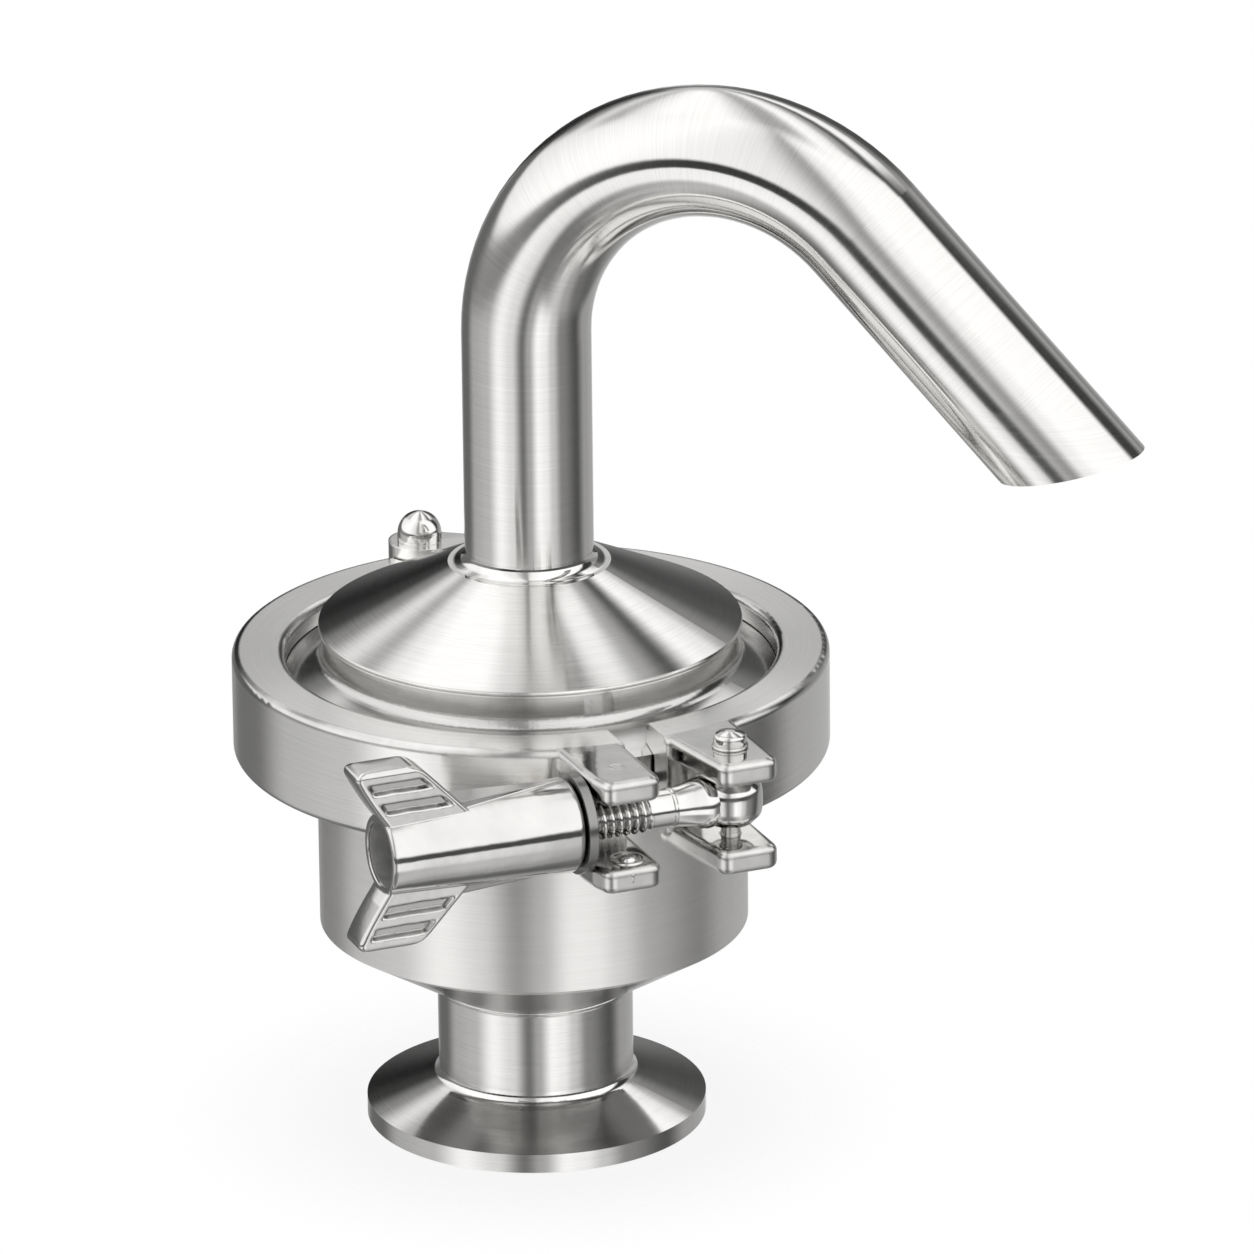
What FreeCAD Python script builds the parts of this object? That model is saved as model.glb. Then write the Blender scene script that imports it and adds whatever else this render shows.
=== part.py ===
import FreeCAD, Part
import math
import os
import re

import Sketcher
from FreeCAD import Placement, Rotation, Vector

# Spring-loaded hygienic pressure relief valve, in millimetres.
# +Z is up, the origin is the centre of the inlet ferrule's face,
# and the discharge bend leans towards +X.

SIZES = {
    # Inlet ferrule and neck
    "ferrule_diameter": 50.5,
    "ferrule_rim": 2.85,
    "flange_taper": 20,
    "bead_inset": 3.5,
    "bead_groove": 1.6,
    "inlet_tube": 29,
    "inlet_wall": 1.5,
    "neck_top": 20.8,
    "neck_fillet": 1.5,
    # Valve body
    "body_diameter": 63.5,
    "body_wall": 1.65,
    "body_cone_height": 10.5,
    "floor_thickness": 0.7,
    "body_wall_height": 27.2,
    "flange_reach": 7,
    "body_flange_height": 6.5,
    "gasket_thickness": 1.6,
    "gasket_bead": 1.1,
    "bead_clearance": 0.3,
    # Seat and poppet
    "throat_step": 1,
    "throat_length": 1.6,
    "seat_margin": 2.5,
    "seat_rise": 3.2,
    "seat_width": 2.5,
    "seat_height": 2,
    "seat_bevel": 0.5,
    "seal_thickness": 1.5,
    "seal_overhang": 0.8,
    "seal_grip": 1.8,
    "retainer_clearance": 0.7,
    "retainer_thickness": 1.5,
    "disc_thickness": 3.5,
    "disc_hub_height": 5,
    "disc_hub_wall": 2.5,
    "stem_diameter": 8,
    "stud_step": 1,
    "stem_rise": 4,
    "stem_chamfer": 0.5,
    "lift_height": 5,
    "stop_thickness": 4,
    "stop_step": 2,
    "disc_nut_wall": 2,
    "disc_nut_height": 3,
    # Spring and its guide
    "spring_wire": 2.2,
    "spring_clearance": 1.4,
    "spring_turns": 5.5,
    "plate_thickness": 2.5,
    "plate_margin": 1.4,
    "plate_spigot": 3,
    "spider_ledge": 3.3,
    "spider_rim_height": 2.5,
    "spider_rim_width": 5.5,
    "spider_hub_wall": 4,
    "spider_hub_height": 6.5,
    "spider_arm_width": 6,
    "spider_arm_height": 4,
    "spider_arm_count": 3,
    "spider_arm_overlap": 1.5,
    "spider_clearance": 0.1,
    "nut_sides": 6,
    "screw_wall": 2.55,
    "screw_head_step": 0.5,
    "screw_head_height": 5,
    "screw_rise": 7,
    "screw_clearance": 0.05,
    "bush_wall": 1.4,
    "bush_length": 10,
    "bush_flange": 1,
    "stem_clearance": 0.05,
    "plate_clearance": 0.4,
    "lock_nut_height": 4,
    # Outlet cover and discharge bend
    "cover_step": 1.25,
    "cover_wall": 1.65,
    "cover_height": 10.4,
    "cover_fillet": 1.8,
    "cone_overhang": 0.6,
    "cone_edge": 0.9,
    "cone_height": 10,
    "collar_width": 2.5,
    "collar_height": 1.9,
    "collar_fillet": 1.8,
    "outlet_tube": 19,
    "outlet_wall": 1.5,
    "riser_length": 33.6,
    "bend_radius": 31,
    "bend_angle": 135,
    "tail_length": 44.9,
    "tail_cut": 30,
    # Clamp
    "clamp_angle": 45,
    "clamp_wall": 4.6,
    "clamp_rise": 7.9,
    "clamp_drop": 7.5,
    "clamp_grip": 2.55,
    "groove_clearance": 0.65,
    "taper_clearance": 0.12,
    "clamp_edge": 1.1,
    "clamp_gap": 6.4,
    "hinge_split": 0.4,
    "lug_beyond_bolt": 7.3,
    "lug_bury": 2.5,
    "lug_half_slot": 4.9,
    "lug_drop": 0.6,
    "lug_corner": 1.8,
    "lug_edge": 1,
    "left_lug_face": 13.1,
    "right_lug_near": 4.3,
    "right_lug_far": 4.7,
    "hinge_inset": 0.1,
    "knuckle_wall": 2.7,
    "knuckle_half_height": 3.9,
    "knuckle_gap": 0.15,
    "knuckle_rise": 1.8,
    "knuckle_clearance": 0.4,
    "hinge_pin_diameter": 4,
    "hinge_head_step": 1.3,
    "hinge_head_collar": 1.2,
    "saddle_sink": 1,
    "saddle_margin": 2.5,
    "saddle_shoulder": 12.5,
    "saddle_end": 20.5,
    "pin_clearance": 0.04,
    "pin_tail": 0.5,
    "pin_tail_taper": 0.5,
    # Eye bolt and wing nut
    "eye_offset": 10.3,
    "bolt_standoff": 6.5,
    "eye_wall": 3.2,
    "eye_gap": 0.7,
    "flat_overlap": 0.4,
    "bolt_diameter": 6,
    "bolt_length": 44,
    "neck_near": 3.6,
    "neck_length": 5.2,
    "neck_step": 0.8,
    "eye_pin_diameter": 3,
    "eye_head_step": 0.95,
    "eye_head_collar": 1.5,
    "washer_wall": 4.35,
    "washer_thickness": 1.4,
    "washer_gap": 0.08,
    "nut_wall": 3.9,
    "nut_length": 29.4,
    "nut_taper": 1.05,
    "nut_end_wall": 1.2,
    "nut_hole_depth": 15,
    "nut_chamfer": 0.6,
    "thread_clearance": 0.05,
    "wing_cover": 0.2,
    "wing_rise": 8.7,
    "wing_thickness": 6,
    "wing_inset": 0.2,
    "wing_root_width": 13.4,
    "wing_tip_width": 10.9,
    "wing_lean": 8.3,
    "wing_corner": 1.6,
    "wing_edge": 0.5,
    "grip_depth": 0.8,
    "grip_frame": 1.5,
    "grip_bar": 1.1,
    "rib_rise": 0.05,
    "rib_overlap": 3,
    # Reach of the cutting outlines
    "cutter_reach": 200,
}

doc = FreeCAD.newDocument("ReliefValve")
sheet = doc.addObject("Spreadsheet::Sheet", "Sizes")
for row, (alias, size) in enumerate(SIZES.items(), start=1):
    sheet.set(f"A{row}", alias)
    sheet.set(f"B{row}", str(size))
    sheet.setAlias(f"B{row}", alias)
doc.recompute()

SUB_PARTS = []
Z_AXIS = Vector(0, 0, 1)
CLOSE = 1e-4

# Inlet, body and cover: diameters, radii and heights that follow from the sizes
INLET_BORE = "(inlet_tube - 2 * inlet_wall)"
FERRULE_TAPER_TOP = "(ferrule_rim + (ferrule_diameter - inlet_tube) / 2 * tan(flange_taper))"
BODY_BOTTOM = "(neck_top + body_cone_height)"
BODY_BORE = "(body_diameter - 2 * body_wall)"
FLANGE_BASE = f"({BODY_BOTTOM} + body_wall_height)"
FLANGE = "(body_diameter + 2 * flange_reach)"
BODY_FACE = f"({FLANGE_BASE} + body_flange_height)"
JOINT_PLANE = f"({BODY_FACE} + gasket_thickness / 2)"
COVER_FACE = f"({BODY_FACE} + gasket_thickness)"
BEAD_RADIUS = f"({FLANGE} / 2 - bead_inset)"
COVER = "(body_diameter - 2 * cover_step)"
COVER_EDGE = f"({COVER_FACE} + cover_height)"
COLLAR_BASE = f"({COVER_EDGE} + cone_height)"
COLLAR_TOP = f"({COLLAR_BASE} + collar_height)"
COLLAR_RADIUS = "(outlet_tube / 2 + collar_width)"
OUTLET_BORE = "(outlet_tube - 2 * outlet_wall)"
BEND_START = f"({COLLAR_TOP} + riser_length)"

# Seat, poppet, spring and guide
SEAT_BORE = f"({INLET_BORE} - 2 * throat_step)"
SEAT_LEVEL = "(neck_top + seat_rise)"
SEAT_TOP = f"({SEAT_LEVEL} + seat_height)"
DISC_BASE = f"({SEAT_TOP} + seal_thickness)"
DISC_TOP = f"({DISC_BASE} + disc_thickness)"
RETAINER_BASE = f"({SEAT_TOP} - retainer_thickness)"
RETAINER_RADIUS = f"({SEAT_BORE} / 2 - retainer_clearance)"
SEAL_INNER = f"({RETAINER_RADIUS} - seal_grip)"
SEAL_OUTER = f"({SEAT_BORE} / 2 + seat_width + seal_overhang)"
STUD = "(stem_diameter - 2 * stud_step)"
DISC_HUB = "(stem_diameter + 2 * disc_hub_wall)"
SPRING_RADIUS = f"({DISC_HUB} / 2 + spring_clearance + spring_wire / 2)"
PLATE_RADIUS = f"({SPRING_RADIUS} + spring_wire / 2 + plate_margin)"
HUB_TOP = BODY_FACE
PLATE_TOP = f"({HUB_TOP} - spider_hub_height)"
SPRING_TOP = f"({PLATE_TOP} - plate_thickness)"
SPIGOT_END = f"({SPRING_TOP} - plate_spigot)"
SPIDER_RIM = f"({BODY_BORE} / 2 + spider_ledge)"
BUSH_SEAT = "(stem_diameter / 2 + stem_clearance + bush_wall)"
SCREW = f"(2 * ({BUSH_SEAT} + screw_wall))"
SCREW_HEAD_BASE = f"({HUB_TOP} + screw_rise)"
SCREW_TOP = f"({SCREW_HEAD_BASE} + screw_head_height)"
SPIDER_HUB = f"({SCREW} + 2 * spider_hub_wall)"
STEM_TOP = f"({SCREW_TOP} + stem_rise)"

# Clamp, in the clamp's own frame
GROOVE_RADIUS = f"({FLANGE} / 2 + groove_clearance)"
CLAMP_RADIUS = f"({GROOVE_RADIUS} + clamp_wall)"
LIP_RADIUS = f"({FLANGE} / 2 - clamp_grip)"
RIM_HALF = "(gasket_thickness / 2 + ferrule_rim)"
CLAMP_TOP = f"({JOINT_PLANE} + clamp_rise)"
CLAMP_BASE = f"({JOINT_PLANE} - clamp_drop)"
HINGE_REACH = f"({CLAMP_RADIUS} - hinge_inset)"
KNUCKLE_RADIUS = "(hinge_pin_diameter / 2 + knuckle_wall)"
BOLT_REACH = f"({CLAMP_RADIUS} + bolt_standoff)"
LUG_TIP = f"({BOLT_REACH} + lug_beyond_bolt)"
LUG_ROOT = f"({CLAMP_RADIUS} - lug_bury)"
LUG_MIDDLE = f"({JOINT_PLANE} - lug_drop)"
LUG_LEVEL = f"({LUG_MIDDLE} + lug_half_slot)"
LUG_HEIGHT = f"({CLAMP_TOP} - {LUG_LEVEL})"
LUG_BASE = f"({LUG_MIDDLE} - lug_half_slot - {LUG_HEIGHT})"
RELIEF_RADIUS = "(eye_offset + left_lug_face)"
RELIEF_STEPS = 2

# Eye bolt and wing nut, in the bolt's own frame
EYE_RADIUS = "(eye_pin_diameter / 2 + eye_wall)"
EYE_HEIGHT = "(2 * (lug_half_slot - lug_drop - eye_gap))"
NECK_FAR = "(neck_near + neck_length)"
THREAD_BORE = "(bolt_diameter / 2 + thread_clearance)"
NUT_RADIUS = f"({THREAD_BORE} + nut_wall)"
NUT_END = f"({NUT_RADIUS} - nut_taper)"
NUT_HOLE = f"({NUT_END} - nut_end_wall)"
NUT_FACE = "(left_lug_face + washer_thickness + 2 * washer_gap)"
WING_ROOT = f"({NUT_HOLE} + wing_cover)"
WING_TIP = f"({WING_ROOT} + wing_rise)"
ROOT_FAR = "(nut_length - wing_inset)"
ROOT_NEAR = f"({ROOT_FAR} - wing_root_width)"
TIP_NEAR = f"({ROOT_NEAR} + wing_lean)"
TIP_FAR = f"({TIP_NEAR} + wing_tip_width)"


def bound(text):
    """The expression with every size named as a cell of the sheet."""
    return re.sub(r"\b[a-z_]+\b", lambda m: f"Sizes.{m.group()}" if m.group() in SIZES else m.group(), text)


def number(text):
    """The value that an expression of sizes has now."""
    return float(sheet.evalExpression(bound(text)))


def tie(item, **expressions):
    """Bind properties of an object to expressions of the sizes."""
    for name, text in expressions.items():
        item.setExpression(name.replace("__", "."), bound(text))
    return item


def new_body(label):
    body = doc.addObject("PartDesign::Body", label + "_body")
    body.Label = label
    return body


def new_sketch(body, plane, name, offset=None):
    """A sketch on one of the body's own origin planes, moved along its normal."""
    sketch = body.newObject("Sketcher::SketchObject", name)
    support = next(item for item in body.Origin.OriginFeatures if item.Role == plane)
    sketch.AttachmentSupport = [(support, "")]
    sketch.MapMode = "FlatFace"
    if offset is not None:
        tie(sketch, AttachmentOffset__Base__z=offset)
    return sketch


def pin_point(sketch, geometry, place, x, y):
    """Hold one point of the sketch at the place that two expressions give."""
    for kind, axis, text in (("DistanceX", -2, x), ("DistanceY", -1, y)):
        if text == "0":
            sketch.addConstraint(Sketcher.Constraint("PointOnObject", geometry, place, axis))
            continue
        value = number(text)
        index = sketch.addConstraint(Sketcher.Constraint(kind, -1, 1, geometry, place, value))
        sketch.setExpression(f"Constraints[{index}]", bound(text))


def outline(sketch, corners):
    """A closed outline of straight edges through corners given as expressions."""
    points = [Vector(number(x), number(y), 0) for x, y in corners]
    first = sketch.GeometryCount
    count = len(points)
    for index, point in enumerate(points):
        sketch.addGeometry(Part.LineSegment(point, points[(index + 1) % count]))
    for index in range(count):
        following = first + (index + 1) % count
        sketch.addConstraint(Sketcher.Constraint("Coincident", first + index, 2, following, 1))
    for index, (x, y) in enumerate(corners):
        pin_point(sketch, first + index, 1, x, y)
    return sketch


def circle(sketch, x, y, radius):
    """A circle whose centre and radius are expressions."""
    centre = Vector(number(x), number(y), 0)
    geometry = sketch.addGeometry(Part.Circle(centre, Z_AXIS, number(radius)))
    pin_point(sketch, geometry, 3, x, y)
    index = sketch.addConstraint(Sketcher.Constraint("Radius", geometry, number(radius)))
    sketch.setExpression(f"Constraints[{index}]", bound(radius))
    return sketch


def revolve(body, sketch, axis="V_Axis", kind="Revolution"):
    """Turn a sketch fully about one of its own axes; kind is Revolution or Groove."""
    before = body.Shape.Volume if kind == "Groove" else 0
    turned = body.newObject("PartDesign::" + kind, f"{sketch.Name}_{kind.lower()}")
    turned.Profile = sketch
    turned.ReferenceAxis = (sketch, [axis])
    turned.Angle = 360
    doc.recompute()
    if kind == "Groove" and not body.Shape.Volume < before:
        raise RuntimeError(turned.Name + " cuts nothing")
    return turned


def pad(body, sketch, length, middle=False):
    grown = body.newObject("PartDesign::Pad", sketch.Name + "_pad")
    grown.Profile = sketch
    grown.Midplane = middle
    tie(grown, Length=length)
    doc.recompute()
    return grown


def pocket(body, sketch, length, middle=False, backwards=False):
    before = body.Shape.Volume
    cut = body.newObject("PartDesign::Pocket", sketch.Name + "_pocket")
    cut.Profile = sketch
    cut.Midplane = middle
    cut.Reversed = backwards
    tie(cut, Length=length)
    doc.recompute()
    if not body.Shape.Volume < before:
        raise RuntimeError(cut.Name + " cuts nothing")
    return cut


def soften(body, name, radius, wanted):
    """Round the edges of the body's last feature that wanted picks."""
    base = body.Tip
    edges = [f"Edge{index + 1}" for index, edge in enumerate(base.Shape.Edges) if wanted(edge)]
    if not edges:
        raise RuntimeError(name + " finds no edge")
    softened = body.newObject("PartDesign::Fillet", name)
    softened.Base = (base, edges)
    tie(softened, Radius=radius)
    doc.recompute()
    if "Invalid" in softened.State:
        raise RuntimeError(name + " fails")
    return softened


def on_circle(radius, height):
    """Picks the edges that lie on a circle about Z at a radius and height."""
    wanted_radius = number(radius)
    wanted_height = number(height)

    def wanted(edge):
        if not isinstance(edge.Curve, Part.Circle):
            return False
        same_radius = abs(edge.Curve.Radius - wanted_radius) < CLOSE
        same_height = abs(edge.Curve.Center.z - wanted_height) < CLOSE
        return same_radius and same_height

    return wanted


def keep(item, label):
    """Count an object as a finished sub-part under its node's name."""
    item.Label = label
    SUB_PARTS.append(item)
    return item


def turned_piece(label, corners):
    """A sub-part turned about Z from one outline of (radius, height) corners."""
    body = new_body(label)
    sketch = outline(new_sketch(body, "XZ_Plane", label + "_profile"), corners)
    revolve(body, sketch)
    return keep(body, label)


def on_clamp(item, x="0", y="0", z="0"):
    """Place a piece modelled in the clamp's frame, whose gap faces -Y."""
    item.Placement = Placement(Vector(), Rotation(Z_AXIS, number("clamp_angle")))
    return tie(
        item,
        Placement__Rotation__Angle="clamp_angle",
        Placement__Base__x=f"({x}) * cos(clamp_angle) - ({y}) * sin(clamp_angle)",
        Placement__Base__y=f"({x}) * sin(clamp_angle) + ({y}) * cos(clamp_angle)",
        Placement__Base__z=z,
    )


def cylinder(name, radius, height, x="0", y="0", z="0"):
    item = doc.addObject("Part::Cylinder", name)
    return tie(item, Radius=radius, Height=height, Placement__Base__x=x,
               Placement__Base__y=y, Placement__Base__z=z)


def joined(name, pieces):
    item = doc.addObject("Part::MultiFuse", name)
    item.Shapes = pieces
    item.Refine = True
    doc.recompute()
    return item


def without(name, base, tool):
    item = doc.addObject("Part::Cut", name)
    item.Base = base
    item.Tool = tool
    item.Refine = True
    doc.recompute()
    return item


def mirrored(name, source, height):
    """A piece mirrored in the level plane at a height."""
    item = doc.addObject("Part::Mirroring", name)
    item.Source = source
    item.Normal = Z_AXIS
    tie(item, Base__z=height)
    doc.recompute()
    return item


def nut_corners(width, turn="0"):
    """The corners of a nut by its width across flats, the first one at an angle."""
    radius = f"(({width}) / 2 / cos(180 / nut_sides))"
    corners = []
    for side in range(SIZES["nut_sides"]):
        angle = f"({turn} + 360 / nut_sides * {side})"
        corners.append((f"{radius} * cos({angle})", f"{radius} * sin({angle})"))
    return corners


# Inlet ferrule and valve body


def make_inlet_ferrule():
    body = turned_piece("inlet_ferrule", [
        (f"{INLET_BORE} / 2", "0"),
        ("ferrule_diameter / 2", "0"),
        ("ferrule_diameter / 2", "ferrule_rim"),
        ("inlet_tube / 2", FERRULE_TAPER_TOP),
        ("inlet_tube / 2", "neck_top"),
        (f"{INLET_BORE} / 2", "neck_top"),
    ])
    groove = new_sketch(body, "XZ_Plane", "inlet_bead")
    circle(groove, "ferrule_diameter / 2 - bead_inset", "0", "bead_groove")
    revolve(body, groove, kind="Groove")
    soften(body, "neck_root", "neck_fillet", on_circle("inlet_tube / 2", FERRULE_TAPER_TOP))


def make_body_shell():
    turned_piece("body_shell", [
        ("inlet_tube / 2", "neck_top"),
        ("body_diameter / 2", BODY_BOTTOM),
        ("body_diameter / 2", FLANGE_BASE),
        (f"{BODY_BORE} / 2", FLANGE_BASE),
        (f"{BODY_BORE} / 2", f"{BODY_BOTTOM} + floor_thickness"),
        (f"{SEAT_BORE} / 2 + seat_width + seat_bevel + seat_margin", SEAT_LEVEL),
        (f"{SEAT_BORE} / 2", SEAT_LEVEL),
        (f"{SEAT_BORE} / 2", "neck_top + throat_length"),
        (f"{INLET_BORE} / 2", "neck_top"),
    ])


def make_body_flange():
    body = turned_piece("body_flange", [
        (f"{BODY_BORE} / 2", FLANGE_BASE),
        ("body_diameter / 2", FLANGE_BASE),
        ("body_diameter / 2", f"{BODY_FACE} - ferrule_rim - flange_reach * tan(flange_taper)"),
        (f"{FLANGE} / 2", f"{BODY_FACE} - ferrule_rim"),
        (f"{FLANGE} / 2", BODY_FACE),
        (f"{SPIDER_RIM} + spider_clearance", BODY_FACE),
        (f"{SPIDER_RIM} + spider_clearance", f"{BODY_FACE} - spider_rim_height"),
        (f"{BODY_BORE} / 2", f"{BODY_FACE} - spider_rim_height"),
    ])
    bead = new_sketch(body, "XZ_Plane", "body_bead")
    circle(bead, BEAD_RADIUS, BODY_FACE, "gasket_bead + bead_clearance")
    revolve(body, bead, kind="Groove")


def make_clamp_gasket():
    body = turned_piece("clamp_gasket", [
        (f"{BODY_BORE} / 2", BODY_FACE),
        (f"{FLANGE} / 2", BODY_FACE),
        (f"{FLANGE} / 2", COVER_FACE),
        (f"{BODY_BORE} / 2", COVER_FACE),
    ])
    bead = new_sketch(body, "XZ_Plane", "gasket_bead_profile")
    circle(bead, BEAD_RADIUS, JOINT_PLANE, "gasket_thickness / 2 + gasket_bead / 2")
    revolve(body, bead)


# Seat, poppet and spring


def make_seat_ring():
    turned_piece("seat_ring", [
        (f"{SEAT_BORE} / 2", SEAT_LEVEL),
        (f"{SEAT_BORE} / 2 + seat_width + seat_bevel", SEAT_LEVEL),
        (f"{SEAT_BORE} / 2 + seat_width", SEAT_TOP),
        (f"{SEAT_BORE} / 2", SEAT_TOP),
    ])


def make_poppet():
    turned_piece("valve_disc", [
        (f"{STUD} / 2", SEAT_TOP),
        (SEAL_INNER, SEAT_TOP),
        (SEAL_INNER, DISC_BASE),
        (SEAL_OUTER, DISC_BASE),
        (SEAL_OUTER, DISC_TOP),
        (f"{DISC_HUB} / 2", DISC_TOP),
        (f"{DISC_HUB} / 2", f"{DISC_TOP} + disc_hub_height"),
        ("stem_diameter / 2", f"{DISC_TOP} + disc_hub_height"),
        ("stem_diameter / 2", DISC_TOP),
        (f"{STUD} / 2", DISC_TOP),
    ])
    turned_piece("seat_seal", [
        (SEAL_INNER, SEAT_TOP),
        (SEAL_OUTER, SEAT_TOP),
        (SEAL_OUTER, DISC_BASE),
        (SEAL_INNER, DISC_BASE),
    ])
    turned_piece("seal_retainer", [
        (f"{STUD} / 2", RETAINER_BASE),
        (f"{RETAINER_RADIUS} - seat_bevel", RETAINER_BASE),
        (RETAINER_RADIUS, f"{RETAINER_BASE} + seat_bevel"),
        (RETAINER_RADIUS, SEAT_TOP),
        (f"{STUD} / 2", SEAT_TOP),
    ])
    stop_top = f"({SPIGOT_END} - lift_height)"
    turned_piece("valve_stem", [
        ("0", f"{RETAINER_BASE} - disc_nut_height"),
        (f"{STUD} / 2", f"{RETAINER_BASE} - disc_nut_height"),
        (f"{STUD} / 2", DISC_TOP),
        ("stem_diameter / 2", DISC_TOP),
        ("stem_diameter / 2", f"{stop_top} - stop_thickness"),
        ("stem_diameter / 2 + stop_step", f"{stop_top} - stop_thickness"),
        ("stem_diameter / 2 + stop_step", stop_top),
        ("stem_diameter / 2", stop_top),
        ("stem_diameter / 2", f"{STEM_TOP} - stem_chamfer"),
        ("stem_diameter / 2 - stem_chamfer", STEM_TOP),
        ("0", STEM_TOP),
    ])
    nut = new_body("disc_nut")
    plan = new_sketch(nut, "XY_Plane", "disc_nut_plan", f"{RETAINER_BASE} - disc_nut_height")
    outline(plan, nut_corners(f"{STUD} + 2 * disc_nut_wall", "180 / nut_sides"))
    circle(plan, "0", "0", f"{STUD} / 2")
    pad(nut, plan, "disc_nut_height")
    keep(nut, "disc_nut")


def make_valve_spring():
    rise = f"({SPRING_TOP} - {DISC_TOP} - spring_wire)"
    body = new_body("valve_spring")
    section = new_sketch(body, "XZ_Plane", "spring_section")
    circle(section, SPRING_RADIUS, f"{DISC_TOP} + spring_wire / 2", "spring_wire / 2")
    coil = body.newObject("PartDesign::AdditiveHelix", "spring_coil")
    coil.Profile = section
    coil.ReferenceAxis = (section, ["V_Axis"])
    coil.Mode = "pitch-height-angle"
    coil.Angle = 0
    tie(coil, Pitch=f"{rise} / spring_turns", Height=rise)
    doc.recompute()
    keep(body, "valve_spring")


def make_spring_plate():
    inner = "stem_diameter / 2 + plate_clearance"
    turned_piece("spring_plate", [
        (inner, SPIGOT_END),
        (f"{DISC_HUB} / 2", SPIGOT_END),
        (f"{DISC_HUB} / 2", SPRING_TOP),
        (PLATE_RADIUS, SPRING_TOP),
        (PLATE_RADIUS, PLATE_TOP),
        (inner, PLATE_TOP),
    ])


def make_guide_spider():
    body = new_body("guide_spider")
    rim = new_sketch(body, "XY_Plane", "spider_rim_plan", f"{BODY_FACE} - spider_rim_height")
    circle(rim, "0", "0", SPIDER_RIM)
    circle(rim, "0", "0", f"{SPIDER_RIM} - spider_rim_width")
    pad(body, rim, "spider_rim_height")
    arm = new_sketch(body, "XY_Plane", "spider_arm_plan", f"{BODY_FACE} - spider_arm_height")
    outline(arm, [
        (f"{SCREW} / 2 + spider_arm_overlap", "spider_arm_width / 2"),
        (f"{BODY_BORE} / 2 - spider_arm_overlap", "spider_arm_width / 2"),
        (f"{BODY_BORE} / 2 - spider_arm_overlap", "-spider_arm_width / 2"),
        (f"{SCREW} / 2 + spider_arm_overlap", "-spider_arm_width / 2"),
    ])
    first_arm = pad(body, arm, "spider_arm_height")
    arms = body.newObject("PartDesign::PolarPattern", "spider_arms")
    arms.Originals = [first_arm]
    arms.Axis = (arm, ["N_Axis"])
    arms.Angle = 360
    arms.Occurrences = SIZES["spider_arm_count"]
    body.Tip = arms
    doc.recompute()
    hub = new_sketch(body, "XY_Plane", "spider_hub_plan", PLATE_TOP)
    circle(hub, "0", "0", f"{SPIDER_HUB} / 2")
    pad(body, hub, "spider_hub_height")
    bore = new_sketch(body, "XY_Plane", "spider_bore_plan", HUB_TOP)
    circle(bore, "0", "0", f"{SCREW} / 2 + screw_clearance")
    pocket(body, bore, "spider_hub_height")
    keep(body, "guide_spider")


def make_adjusting_screw():
    body = new_body("adjusting_screw")
    profile = new_sketch(body, "XZ_Plane", "screw_profile")
    outline(profile, [
        ("stem_diameter / 2 + plate_clearance", PLATE_TOP),
        (f"{SCREW} / 2", PLATE_TOP),
        (f"{SCREW} / 2", SCREW_TOP),
        (BUSH_SEAT, SCREW_TOP),
        (BUSH_SEAT, f"{SCREW_TOP} - bush_length"),
        ("stem_diameter / 2 + plate_clearance", f"{SCREW_TOP} - bush_length"),
    ])
    revolve(body, profile)
    head = new_sketch(body, "XY_Plane", "screw_head_plan", SCREW_HEAD_BASE)
    outline(head, nut_corners(f"{SCREW} + 2 * screw_head_step", "180 / nut_sides"))
    circle(head, "0", "0", f"{SCREW} / 2 - bush_wall")
    pad(body, head, "screw_head_height")
    keep(body, "adjusting_screw")
    turned_piece("stem_bush", [
        ("stem_diameter / 2 + stem_clearance", f"{SCREW_TOP} - bush_length"),
        (BUSH_SEAT, f"{SCREW_TOP} - bush_length"),
        (BUSH_SEAT, SCREW_TOP),
        (f"{BUSH_SEAT} + bush_flange", SCREW_TOP),
        (f"{BUSH_SEAT} + bush_flange", f"{SCREW_TOP} + bush_flange"),
        ("stem_diameter / 2 + stem_clearance", f"{SCREW_TOP} + bush_flange"),
    ])
    nut = new_body("lock_nut")
    plan = new_sketch(nut, "XY_Plane", "lock_nut_plan", HUB_TOP)
    outline(plan, nut_corners(SPIDER_HUB))
    circle(plan, "0", "0", f"{SCREW} / 2 + screw_clearance")
    pad(nut, plan, "lock_nut_height")
    keep(nut, "lock_nut")


# Outlet cover and discharge bend


def make_outlet_flange():
    bore = f"{COVER} / 2 - cover_wall"
    taper_top = f"({COVER_FACE} + ferrule_rim + ({FLANGE} - {COVER}) / 2 * tan(flange_taper))"
    body = turned_piece("outlet_flange", [
        (bore, COVER_FACE),
        (f"{FLANGE} / 2", COVER_FACE),
        (f"{FLANGE} / 2", f"{COVER_FACE} + ferrule_rim"),
        (f"{COVER} / 2", taper_top),
        (f"{COVER} / 2", COVER_EDGE),
        (bore, COVER_EDGE),
    ])
    bead = new_sketch(body, "XZ_Plane", "cover_bead")
    circle(bead, BEAD_RADIUS, COVER_FACE, "gasket_bead + bead_clearance")
    revolve(body, bead, kind="Groove")
    soften(body, "cover_root", "cover_fillet", on_circle(f"{COVER} / 2", taper_top))


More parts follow.
